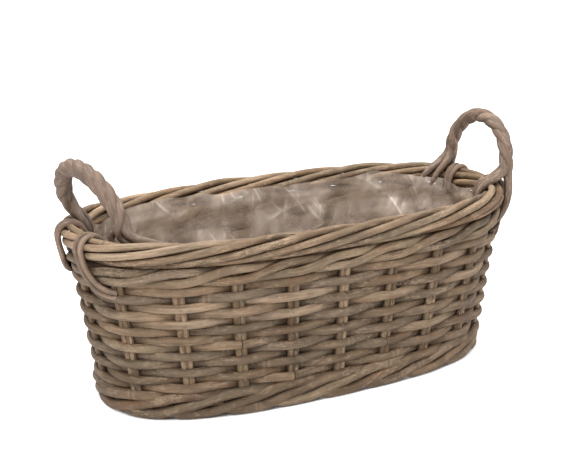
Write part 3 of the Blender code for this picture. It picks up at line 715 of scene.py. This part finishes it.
def woven(p, radius, at, side, heights, fullness=1.0):
    """A woven rod's route, radius and heights of section, for its side of the wall at each place."""
    wall = p.wall
    shares = (wall.back_height, wall.crossing_height, wall.front_height)
    tall = np.interp(side, (-1, 0, 1), shares) * fullness
    radius = radius * wall.depth
    heights = np.maximum(heights, radius * tall + FLOOR_GAP)
    outs = wall.bulge + side * (p.stake + radius - wall.dent)
    along = np.zeros(len(at))
    along[0], along[-1] = JOINT_GAP, -JOINT_GAP
    rough = wall_points(p, at, heights - wall.back_sag * np.clip(-side, 0, 1) ** 2, outs, along)
    points = evened(rough, SPACING, 1)
    way, rough_way = travelled(points), travelled(rough)
    return points, radius, np.interp(way / way[-1], rough_way / rough_way[-1], tall)


def spliced(p, radius, joins, stakes, sides, levels, rng, sway, fullness=1.0):
    """A round of the wall in lengths that meet at the joins, by its side and level at each pair."""
    rods = []
    for start, finish in zip(joins, joins[1:]):
        at = np.append(np.arange(stakes[start], stakes[finish], FINENESS), stakes[finish])
        points, radii, tall = woven(p, radius, at, flowing(stakes, sides, at), flowing(stakes, levels, at),
                                    fullness)
        rods.append(rod(points, radii, rng, sway=sway, tall=tall))
    return rods


class BASKET_OT_wales(bpy.types.Operator):
    """The wale at the foot, in front of three pairs and behind one, and the one under the border"""

    bl_idname = "basket.wales"
    bl_label = "Wales"

    # the pairs between which a wale's rod has its joint
    joint_from, joint_to = 7, 13

    def execute(self, context):
        p = basket_plan(context.scene)
        material = rattan_material("wale_rattan", context.scene.basket_finish, lightness=0.95)
        # each stroke is in front of a pair (1) or behind it (-1), at its height
        foot = [(1, p.foot_low + level * p.wale_step) for level in range(3)] + [(-1, p.wall.foot_behind)]
        top = [(1, p.top_low), (1, p.top_high), (-1, p.top_high), (-1, p.top_low)]
        for prefix, strokes, fullness in (("foot_wale", foot, p.wall.wale_fullness), ("top_wale", top, 1.0)):
            for number in range(len(strokes)):
                rng = np.random.default_rng(SEEDS[prefix] + number)
                rods = self.wale_rods(p, strokes, number, rng, fullness)
                add_rods(f"{prefix}_{number + 1}", rods, material)
        return {"FINISHED"}

    def wale_rods(self, p, strokes, number, rng, fullness):
        """One wale rod's round in two lengths, over its strokes in turn."""
        first = number + len(strokes) - 1
        stakes = first + np.arange(p.wall.pairs + 1)
        sides, levels = np.array([strokes[(stake - number) % len(strokes)] for stake in stakes]).T
        joins = [0, int(rng.integers(self.joint_from, self.joint_to)), p.wall.pairs]
        return spliced(p, p.wale, joins, stakes, sides, levels, rng, 0.5 * MM, fullness)


class BASKET_OT_rows(bpy.types.Operator):
    """Plain rows, each in front of one pair and behind the next"""

    bl_idname = "basket.rows"
    bl_label = "Wall rows"

    # how many pairs further on each row begins, and the shortest length in pairs
    pairs_on, shortest = 6, 3

    def execute(self, context):
        p = basket_plan(context.scene)
        material = rattan_material("row_rattan", context.scene.basket_finish, lightness=0.87)
        for row in range(p.wall.rows):
            rng = np.random.default_rng(SEEDS["rows"] + row)
            add_rods(f"wall_row_{row + 1:02d}", self.row_rods(p, row, rng), material)
        return {"FINISHED"}

    def row_rods(self, p, row, rng):
        """A round of the wall in two or three lengths, their ends meeting at a pair."""
        pairs = p.wall.pairs
        first = row * self.pairs_on + (row + 1) % 2
        stakes = first + np.arange(pairs + 1)
        sides = np.where((stakes + row) % 2 == 0, 1.0, -1.0)
        inner = rng.choice(range(self.shortest, pairs - self.shortest), 2, False)
        joins = sorted({0, pairs, *(int(join) for join in inner)})
        levels = np.full(len(stakes), p.first_row + row * p.row_pitch)
        return spliced(p, p.row, joins, stakes, sides, levels, rng, 0.45 * MM)


# The base


class BASKET_OT_base(bpy.types.Operator):
    """The base: short and long sticks through each other, and the rods woven round them"""

    bl_idname = "basket.base"
    bl_label = "Base"

    # how far the filling runs past the last crossing sticks, and from one of its points to the next
    filling_past, filling_step = 8 * MM, 4 * MM
    # after how many rounds the weavers no longer bulge out
    bulging_rounds = 1.6

    def execute(self, context):
        p = basket_plan(context.scene)
        rng = np.random.default_rng(SEEDS["base"])
        material = rattan_material("base_rattan", context.scene.basket_finish, lightness=0.92)
        add_rods("base_sticks", self.sticks(p, rng) + self.filling(p, rng), material)
        for weaver in range(2):
            add_rods(f"base_weaver_{weaver + 1}", [self.weaver_rod(p, weaver, rng)], material)
        return {"FINISHED"}

    def foot(self, p, stake):
        """Where a stick meets the foot of its pair."""
        point = wall_points(p, stake, 0.0, -p.stake - p.wall.clearance)
        return np.array((point[0], point[1], p.base.level))

    def target(self, p, stake):
        """The point that a stick runs towards."""
        half = p.wall.pairs // 2
        from_end = min(stake % half, -stake % half)
        if from_end > 1:
            return self.foot(p, -stake)
        start = abs(self.foot(p, 2)[0]) - p.base.overhang
        foot = self.foot(p, stake)
        return np.array((math.copysign(start, foot[0]), math.copysign(from_end * p.base.lane, foot[1]),
                         p.base.level))

    def sticks(self, p, rng):
        """Long sticks along, with the ones that fan out to the ends, and short ones across."""
        half = p.wall.pairs // 2
        long = [[self.foot(p, 0), self.foot(p, half)]]
        for start, finish in ((1, half - 1), (-1, half + 1)):
            long.append([self.foot(p, start), self.target(p, start), self.target(p, finish),
                         self.foot(p, finish)])
        for lane in range(2, 5):
            reach = abs(self.foot(p, 2 if lane < 4 else 3)[0]) + p.base.overhang
            long += [[np.array((end * reach, side * lane * p.base.lane, p.base.level)) for end in (-1, 1)]
                     for side in (-1, 1)]
        short = [[self.foot(p, stake), self.foot(p, -stake)] for stake in range(2, half - 1)]
        return [rod(evened(np.array(route), SPACING, 2), p.stick * size, rng)
                for routes, size in ((long, p.base.long_share), (short, 1.0)) for route in routes]

    def filling(self, p, rng):
        """Lengthwise rods between the long sticks, over one short stick and under the next."""
        half = p.wall.pairs // 2
        crossed = np.array([self.foot(p, stake)[0] for stake in range(2, half - 1)])
        step = np.diff(crossed).mean()
        crossed = np.concatenate(([crossed[0] - step], crossed, [crossed[-1] + step]))
        x = np.arange(crossed[1] - self.filling_past, crossed[-2] + self.filling_past, self.filling_step)
        rods = []
        for lane in range(-3, 3):
            over = (-1.0) ** (np.arange(len(crossed)) + lane) * (p.stick + p.weaver)
            y = np.full(len(x), (lane + 0.5) * p.base.lane)
            points = np.column_stack((x, y, p.base.level + flowing(crossed, over, x)))
            rods.append(rod(points, p.weaver, rng))
        return rods

    def weaver_rod(self, p, weaver, rng):
        """A rod chasing the other one in a spiral, over one stick and under the next."""
        base, pairs = p.base, p.wall.pairs
        steps = np.arange(base.rounds * pairs + 1)
        first = weaver * pairs // 2
        inwards = np.array([self.target(p, first + step) - self.foot(p, first + step) for step in steps])
        inwards /= np.linalg.norm(inwards, axis=1)[:, None]
        levels = (-1.0) ** (steps + weaver) * (p.stick + p.weaver)
        at = np.arange(0, steps[-1], FINENESS)
        # each round lies inside both rods of the round before it
        inset = base.first_inset + 2 * (base.weaver + base.round_gap) * at / pairs
        bulge = base.bulge * np.sin(math.pi * at) ** 2 * np.clip(self.bulging_rounds - at / pairs, 0, 1)
        points = wall_points(p, first + at, 0.0, bulge - p.stake - p.wall.clearance)
        for axis in (0, 1):
            points[:, axis] += inset * np.interp(at, steps, inwards[:, axis])
        points[:, 2] = base.level + flowing(steps, levels, at)
        return rod(evened(points, SPACING, 2), p.weaver, rng)


# The rope handles and their lashings


# between a rod and the border under it, and beside it
LAID_GAP, HANGING_GAP = 1.0 * MM, 1.2 * MM
# how far the end of a leg outside is tucked in and swept along the wall
LEG_TUCK, LEG_SWEEP = 7 * MM, 9 * MM
# the left fan's height over the roll's middle, how far its middle strand falls, how much less or more
# the others do, and how far it starts outside the border's inner side
LEFT_FAN_TOP, LEFT_FAN_FALL, LEFT_FAN_STEP, LEFT_FAN_OUT = 14 * MM, 13 * MM, 4 * MM, 2 * MM
# height of the right fan's ends over the wall's top
RIGHT_FAN_END = 4 * MM


def stake_beside(p, end, direction, beside, out):
    """The pair's number so far beside a handle's middle, at the front (1) or at the back (-1)."""
    stakes = np.linspace(0, p.wall.pairs / 4, 400)
    turn = np.interp(beside, -wall_points(p, stakes, p.middle, out)[:, 1], stakes)
    return direction * turn if end < 0 else p.wall.pairs // 2 - direction * turn


def over_border(p, radius, first, last, steps):
    """Distances out and heights of a rod laid over the border between two angles, given in degrees
    from the outside up, and how far out it stands beside it."""
    over = p.roll + p.stake + radius + LAID_GAP
    side = max(over, 2 * p.wale + p.stake + radius + HANGING_GAP)
    angles = np.radians(np.linspace(first, last, steps))
    return side * np.cos(angles), p.middle + over * np.sin(angles), side


def handle_bow(p):
    """The rope's middle in the handle's plane, as (sideways, up) from the roll's middle."""
    handle = p.handle
    angles = np.linspace(handle.bow_start, math.pi - handle.bow_start, 61)
    bow = np.column_stack((handle.half_spread * np.cos(angles),
                           handle.top - handle.bow_radius * (1 - np.sin(angles))))
    feet = handle.foot_half_spread
    bow = np.concatenate(([[feet, 0.0]], bow, [[-feet, 0.0]]))
    return evened(np.column_stack((bow, np.zeros(len(bow)))), SPACING * 0.7, 10)[:, :2]


def leg_place(p, end):
    """How far from the handle's middle its strands cross the border, and half the width they need."""
    bow = handle_bow(p)
    rising = bow[: len(bow) // 3]
    return (np.interp(p.roll, rising[:, 1], rising[:, 0]),
            (3 if end < 0 else 2) * p.handle.leg_pitch / 2)


def strand_leg(p, end, direction, angle):
    """A strand's way from the split rope down the border's outside, or over it and down its inside."""
    handle = p.handle
    beside, _ = leg_place(p, end)
    astride = end > 0
    out, height, side = over_border(p, handle.leg_pitch / 2, 120 if astride else 150, 180, 4)
    if astride and math.sin(angle) >= 0:
        stake = stake_beside(p, end, direction, beside, -side)
        fall = np.linspace(0, 1, 5)
        heights = p.middle + handle.leg_pitch * (0.5 - fall) - handle.outer_leg_drop * fall
        return wall_points(p, stake, heights, side - LEG_TUCK * fall ** 3,
                           -direction * LEG_SWEEP * fall ** 2)
    place = 0.0
    if math.sin(angle) < 0:
        place = math.copysign(0.5 if astride else 1.0, math.cos(angle))
        beside += handle.leg_pitch * place
    stake = stake_beside(p, end, direction, beside, -side)
    if end < 0 < direction:
        # the left front leg fans out along the rim
        run = np.linspace(0, 1, 7)
        reach = handle.left_fan * (0.6 + 0.4 * place)
        fall = (LEFT_FAN_FALL - LEFT_FAN_STEP * place) * run
        return wall_points(p, stake, p.middle + LEFT_FAN_TOP - fall, LEFT_FAN_OUT * (1 - run) - side,
                           reach * (0.2 + 0.8 * run ** 1.1))
    if direction < 0 < end:
        # and so does the right back one, inside it
        reach = handle.right_fan * (0.8 + 0.4 * place)
        return wall_points(p, stake, np.append(height, p.crown + RIGHT_FAN_END), np.append(out, -side),
                           reach * np.linspace(0, 1, 5))
    return wall_points(p, stake, np.append(height, p.crown), np.append(out, -side))


def strand_route(p, end, strand):
    """A strand's way round the rope, between its two legs."""
    handle = p.handle
    left = end < 0
    lean = handle.left_lean if left else handle.right_lean
    set_out = -handle.left_set_in if left else handle.right_set_out
    turn = handle.left_turn if left else 0.0
    offset = handle.strand_offset * (handle.left_growth if left else 1.0)
    foot = wall_points(p, stake_beside(p, -1, 1, handle.foot_half_spread, 0.0), p.middle)
    middle = handle_bow(p)
    middle = middle[middle[:, 1] > handle.split]
    tangents = np.gradient(middle, axis=0)
    tangents /= np.linalg.norm(tangents, axis=1)[:, None]
    way = travelled(middle)
    angles = 2 * math.pi * (way / way[-1] * handle.third_turns / 3 + strand / 3) + math.pi / 2
    in_plane, off_plane = offset * np.cos(angles), offset * np.sin(angles)
    turned = middle[:, 0] * math.sin(turn) * np.minimum(middle[:, 1] / handle.turn_rise, 1)
    up = middle[:, 1] - tangents[:, 0] * in_plane
    rope = np.stack((end * (set_out - foot[0] + up * math.sin(lean) + off_plane * math.cos(lean)) - turned,
                     middle[:, 0] + tangents[:, 1] * in_plane,
                     p.middle + up * math.cos(lean) - off_plane * math.sin(lean)), axis=-1)
    back, front = strand_leg(p, end, -1, angles[0]), strand_leg(p, end, 1, angles[-1])
    return evened(np.concatenate((back[::-1], rope, front)), SPACING, 4)


class BASKET_OT_handles(bpy.types.Operator):
    """Two rope handles, each of three strands laid round each other and parted over the border"""

    bl_idname = "basket.handles"
    bl_label = "Rope handles"

    # where a strand thickens from the leg to the rope, from its end
    thickening_from, thickening_to = 20 * MM, 70 * MM
    # the radius left at its end, and the length over which it thins
    tip, tip_length = 0.6, 20 * MM

    def execute(self, context):
        p = basket_plan(context.scene)
        thin = p.handle.leg_pitch / 2
        finish = context.scene.basket_finish
        for end, label, lightness, growth in ((-1, "left", 1.0, p.handle.left_growth),
                                              (1, "right", 1.20, 1.0)):
            material = rattan_material(label + "_rope_rattan", finish, lightness, evenness=0.5, grey=1.0)
            for strand in range(3):
                rng = np.random.default_rng(SEEDS["strands"] + strand + 10 * (end + 1))
                points = strand_route(p, end, strand)
                way = travelled(points)
                from_tip = np.minimum(way, way[-1] - way)
                thickened = risen(from_tip, self.thickening_from, self.thickening_to)
                radii = thin + (p.handle.strand * growth / 2 - thin) * thickened
                radii = radii * (self.tip + (1 - self.tip) * risen(from_tip, 0, self.tip_length))
                add_rods(f"handle_{label}_strand_{strand + 1}",
                         [rod(points, radii, rng, uneven=0.03, sway=0.15 * MM)], material)
        return {"FINISHED"}


class BASKET_OT_lashings(bpy.types.Operator):
    """Two rods over the border beside each leg of a handle, swept round under the leg"""

    bl_idname = "basket.lashings"
    bl_label = "Lashings"

    # how far a lashing is pressed in along its curve, and how much further at its end
    pressed_in, tucked_in = 3 * MM, 6 * MM

    def execute(self, context):
        p = basket_plan(context.scene)
        finish = context.scene.basket_finish
        material = rattan_material("lashing_rattan", finish, lightness=1.10, evenness=0.5, grey=0.8)
        radius = p.handle.lashing / 2 * p.handle.lashing_fullness
        for end, label in ((-1, "left"), (1, "right")):
            for leg, direction in (("front", 1), ("back", -1)):
                for number in range(2):
                    rng = np.random.default_rng(SEEDS["lashings"] + number + 5 * direction + 20 * end)
                    route = self.route(p, end, direction, number)
                    add_rods(f"handle_{label}_lashing_{leg}_{number + 1}",
                             [rod(route, radius, rng, sway=0.25 * MM)], material)
        return {"FINISHED"}

    def route(self, p, end, direction, number):
        """Up inside the border, over it, and down the wall in a curve under the leg."""
        handle, thick = p.handle, p.handle.lashing
        pitch = thick + handle.lashing_gap
        inner = number * pitch
        arc_out, arc_height, side = over_border(p, thick / 2, 140, 20, 13)
        turn = np.linspace(0, math.pi / 2, 16)[1:]
        down = side - self.pressed_in * np.sin(turn) - self.tucked_in * (turn / (math.pi / 2)) ** 4
        out = np.concatenate(([-side, -side], arc_out, down))
        height = np.concatenate(([p.crown + thick / 2, p.middle], arc_height,
                                 p.middle - (handle.lashing_drop - inner) * np.sin(turn)))
        along = np.pad((handle.lashing_sweep - inner) * (1 - np.cos(turn)), (len(out) - len(turn), 0))
        leg, half_width = leg_place(p, end)
        stake = stake_beside(p, end, direction, leg - half_width - (1.5 - number) * pitch, -side)
        return evened(wall_points(p, stake, height, out, -end * direction * along), SPACING, 3)


# The liner


class BASKET_OT_liner(bpy.types.Operator):
    """A clear film bag, crumpled against the inside of the weave"""

    bl_idname = "basket.liner"
    bl_label = "Film liner"

    # points round the bag, up its wall and from the middle of its bottom
    around, up, across = 720, 84, 20
    # widths of the folds in metres: on the wall, at the edge with the share of them that shows there,
    # and on the bottom
    wall_waves = (0.13, 0.09, 0.06, 0.042, 0.030, 0.021, 0.015)
    edge_waves, edge_share = (0.20, 0.12, 0.05), 0.7
    bottom_waves = (0.11, 0.07, 0.05)
    # folds wider than this are straight and sharp; heights of both kinds, in their widths
    straight_from, fold_height, wave_height = 0.035, 0.030, 0.020
    # how far the folds stand off the weave, mostly and at least, and the height over which they begin
    stand_off, least_off, settling = 2.5 * MM, 0.2 * MM, 20 * MM
    # depth of the mouth under the border, and how much narrower the film is there
    mouth, mouth_in = 12 * MM, 4 * MM

    def execute(self, context):
        p = basket_plan(context.scene)
        places, creases = self.bag(p, np.random.default_rng(SEEDS["liner"]))
        rows = len(places)
        bpy.ops.object.select_all(action="DESELECT")
        bpy.ops.mesh.primitive_grid_add(x_subdivisions=self.around, y_subdivisions=rows - 1, size=1)
        liner = bpy.context.object
        liner.name = "liner_film"
        # the sheet's columns go round the basket and its rows up the wall
        grid = points_of(liner)
        column = np.round((grid[:, 0] + 0.5) * self.around).astype(int) % self.around
        line = np.round((grid[:, 1] + 0.5) * (rows - 1)).astype(int)
        liner.data.vertices.foreach_set("co", places[line, column].ravel())
        add_attribute(liner, "film_crease_glint", creases[line, column])
        close_seams()
        bpy.ops.object.shade_smooth()
        finish_piece(liner, "liner", film_material(context.scene.basket_finish))
        return {"FINISHED"}

    def bag(self, p, rng):
        """The bag's points in rings from the base's middle up to the edge, and how sharp its folds are, for
        the painted highlight along them.
        """
        liner = p.liner
        stakes = np.linspace(0, p.wall.pairs, self.around, endpoint=False)
        inset = 2 * p.wale + p.stake + liner.gap
        edge = p.crown + liner.edge + self.folds(p, rng, stakes, 0.0, self.edge_waves)[0] * self.edge_share
        heights = liner.bottom + (edge - liner.bottom) * np.linspace(0, 1, self.up)[1:, None]
        climbed = heights - liner.bottom
        rounding = liner.corner * (1 - np.sqrt(1 - np.clip(1 - climbed / liner.corner, 0, 1) ** 2))
        folds, lines = self.folds(p, rng, stakes, climbed, self.wall_waves)
        folds = np.maximum(folds + self.stand_off, self.least_off)
        folds = folds * np.clip(climbed / self.settling, 0.2, 1)
        mouth = self.mouth_in * risen(heights, p.crown - self.mouth, p.crown)
        wall = wall_points(p, stakes, heights, -(inset + rounding + mouth + folds))
        low = wall_points(p, stakes, liner.bottom, -(inset + liner.corner))
        parts = np.linspace(0, 1, self.across)[:, None, None]
        flat = low * parts
        flat[:, :, 2] = liner.bottom + self.ripples(rng, flat) * liner.ripple * (1 - parts[:, :, 0] ** 4)
        return np.concatenate((flat, wall)), np.concatenate((np.zeros(flat.shape[:2]), lines))

    def ripples(self, rng, places):
        """Low straight folds across the bottom, from 0 to 1."""
        total = 0.0
        for wave in self.bottom_waves:
            lean = rng.uniform(0, math.pi)
            across = places[:, :, 0] * math.cos(lean) + places[:, :, 1] * math.sin(lean)
            place = across / wave + rng.random()
            total = total + np.abs(place % 1 - 0.5) * 2 / len(self.bottom_waves)
        return total

    def folds(self, p, rng, stakes, climbed, waves):
        """Straight folds and soft waves of many sizes, which meet after a round, and the sharp lines that
        carry the painted highlight.
        """
        turn = stakes / p.wall.pairs
        full = p.ovals[1][3]

        def swell(most, lean):
            """A slow wave round the bag, moved on as it climbs."""
            return np.sin(2 * math.pi * (rng.integers(3, most) * turn + rng.random()) + climbed * lean)

        total, lines = 0.0, 0.0
        for wave in waves:
            for _ in range(2):
                lean = rng.uniform(-1.25, 1.25)
                folded = max(round(full * math.cos(lean) / wave), 1)
                bend = 0.07 * swell(14, 20)
                place = turn * folded + climbed * math.sin(lean) / wave + rng.random() + bend
                often = 0.5 + 0.5 * swell(12, -70)
                if wave > self.straight_from:
                    fold = np.abs(place % 1 - 0.5)
                    total = total + wave * self.fold_height * often * (4 * fold - 1)
                    sharp = 1 - np.minimum(fold, 0.5 - fold) * wave / p.liner.crease
                    lines = np.maximum(lines, np.clip(sharp, 0, 1) * np.clip(often * 4 - 2.9, 0, 1))
                else:
                    total = total + wave * self.wave_height * often * np.sin(2 * math.pi * place)
        return total, lines


# Painted shade and dirt where the rods shelter each other


class BASKET_OT_shade_and_dirt(bpy.types.Operator):
    """How far each face of a rod is sheltered by the rods round it, for painted shade with dirt in the
    crevices and painted light with bleaching on the open faces
    """

    # makes the shelter that the rods' material turns into painted shade and painted light
    bl_idname = "basket.weather"
    bl_label = "Shade the rods"

    # side of a cell, the empty room round the basket, and how far off a face its shelter is looked up
    cell, margin, looking = 2.5 * MM, 30 * MM, 6.0 * MM
    # how many cells a blur reaches, and how often it is done
    reach, rounds = 2, 2
    # a crowded cell's percentile, among the cells that hold more than this share of the fullest one
    crowded, counted = 92, 0.05

    def execute(self, context):
        places = {piece: points_of(piece) for piece in context.scene.objects
                  if piece.type == "MESH" and "rod_space" in piece.data.attributes}
        low = np.min([place.min(axis=0) for place in places.values()], axis=0) - self.margin
        high = np.max([place.max(axis=0) for place in places.values()], axis=0) + self.margin
        shape = np.ceil((high - low) / self.cell).astype(int) + 1
        field = np.zeros(shape)
        for place in places.values():
            np.add.at(field, tuple(((place - low) / self.cell).astype(int).T), 1.0)
        for axis in range(3):
            for _ in range(self.rounds):
                field = self.blurred(field, axis)
        scale = np.percentile(field[field > self.counted * field.max()], self.crowded)
        for piece, place in places.items():
            normals = np.empty(len(place) * 3)
            piece.data.vertex_normals.foreach_get("vector", normals)
            looked = place + normals.reshape(-1, 3) * self.looking
            cells = np.clip(((looked - low) / self.cell).astype(int), 0, shape - 1)
            add_attribute(piece, "rod_shelter", np.clip(field[tuple(cells.T)] / scale, 0, 1))
        return {"FINISHED"}

    def blurred(self, field, axis):
        """The field averaged over its neighbours along an axis."""
        total = field.copy()
        for step in range(1, self.reach + 1):
            total += np.roll(field, step, axis) + np.roll(field, -step, axis)
        return total / (2 * self.reach + 1)


# The stage


# name, place, side in metres and power in watts
LAMPS = (("key", (-1.3, -1.8, 2.3), 1.6, 60.0), ("fill", (2.2, -1.2, 1.6), 1.8, 9.0),
         ("top", (-0.2, 0.3, 2.6), 1.8, 60.0))
LIT_PLACE = (0, 0, 0.1)


class BASKET_OT_stage(bpy.types.Operator):
    """A pale floor, soft lamps and the camera at the photograph's angle"""

    bl_idname = "basket.stage"
    bl_label = "Stage"

    # width of the camera's sensor in millimetres, and how far it sees in metres
    sensor, farthest = 36.0, 50.0

    def execute(self, context):
        bpy.ops.object.select_all(action="DESELECT")
        bpy.ops.mesh.primitive_plane_add(size=context.scene.basket_stage.floor)
        floor = bpy.context.object
        floor.name = "floor"
        floor.data.materials.append(floor_material())
        self.add_world(context.scene)
        for name, place, size, power in LAMPS:
            bpy.ops.object.select_all(action="DESELECT")
            bpy.ops.object.light_add(type="AREA", location=place)
            lamp = bpy.context.object
            lamp.name = lamp.data.name = name + "_lamp"
            lamp.data.energy, lamp.data.size = power, size
            lamp.rotation_euler = (Vector(LIT_PLACE) - Vector(place)).to_track_quat("-Z", "Y").to_euler()
        self.add_camera(context.scene, context.scene.basket_stage)
        context.scene.view_settings.view_transform = "Standard"
        return {"FINISHED"}

    def add_world(self, scene):
        """Even light all round, and white behind the basket."""
        world = bpy.data.worlds.new("studio")
        world.use_nodes = True
        nodes = Shading(world.node_tree)
        back = world.node_tree.nodes["Background"]
        back.inputs["Color"].default_value = (1, 1, 1, 1)
        rays = nodes.add("LightPath").outputs
        seen = nodes.maths("MAXIMUM", rays["Is Camera Ray"],
                           nodes.maths("MAXIMUM", rays["Is Glossy Ray"], rays["Is Transmission Ray"]))
        nodes.link(nodes.ranged(seen, 0.0, 1.0, 0.50, 1.0), back.inputs["Strength"])
        scene.world = world

    def add_camera(self, scene, stage):
        """The camera, at the photograph's place and framing."""
        a, e = stage.azimuth, stage.elevation
        back = Vector((math.sin(a) * math.cos(e), -math.cos(a) * math.cos(e), math.sin(e)))
        data = bpy.data.cameras.new("camera")
        camera = bpy.data.objects.new("camera", data)
        scene.collection.objects.link(camera)
        data.sensor_width = self.sensor
        data.lens = stage.focal * self.sensor
        data.shift_x, data.shift_y = stage.shift_x, stage.shift_y
        data.clip_end = self.farthest
        aim = (-back).to_track_quat("-Z", "Y").to_matrix().to_4x4()
        camera.matrix_world = (Matrix.Translation(Vector((0, 0, stage.target)) + back * stage.distance)
                               @ aim @ Matrix.Rotation(stage.roll, 4, "Z"))
        scene.camera = camera


# The panel, and the order of the work


class VIEW3D_PT_basket(bpy.types.Panel):
    """The basket's pieces, in the order in which they are made"""

    bl_label = "Planter basket"
    bl_space_type = "VIEW_3D"
    bl_region_type = "UI"
    bl_category = "Basket"

    def draw(self, context):
        for operator in STEPS:
            self.layout.operator(operator.bl_idname)
        for key, sizes in SETTINGS.items():
            box = self.layout.box()
            for size in sizes.__annotations__:
                box.prop(getattr(context.scene, key), size)


SETTINGS = {"basket_wall": BasketWallSizes, "basket_border": BasketBorderSizes,
            "basket_base": BasketBaseSizes, "basket_handle": BasketHandleSizes,
            "basket_liner": BasketLinerSizes, "basket_finish": BasketFinish,
            "basket_stage": BasketStageSizes}
STEPS = (BASKET_OT_base, BASKET_OT_stakes, BASKET_OT_wales, BASKET_OT_rows, BASKET_OT_handles,
         BASKET_OT_lashings, BASKET_OT_shade_and_dirt, BASKET_OT_liner, BASKET_OT_stage)
CLASSES = (*SETTINGS.values(), *STEPS, VIEW3D_PT_basket)


def register():
    for cls in CLASSES:
        bpy.utils.register_class(cls)
    for key, group in SETTINGS.items():
        setattr(bpy.types.Scene, key, PointerProperty(type=group))


def unregister():
    for key in SETTINGS:
        delattr(bpy.types.Scene, key)
    for cls in reversed(CLASSES):
        bpy.utils.unregister_class(cls)


def main():
    """Make every piece in order."""
    register()
    bpy.ops.basket.base()
    bpy.ops.basket.stakes()
    bpy.ops.basket.wales()
    bpy.ops.basket.rows()
    bpy.ops.basket.handles()
    bpy.ops.basket.lashings()
    bpy.ops.basket.weather()
    bpy.ops.basket.liner()
    bpy.ops.basket.stage()


if __name__ == "__main__":
    main()
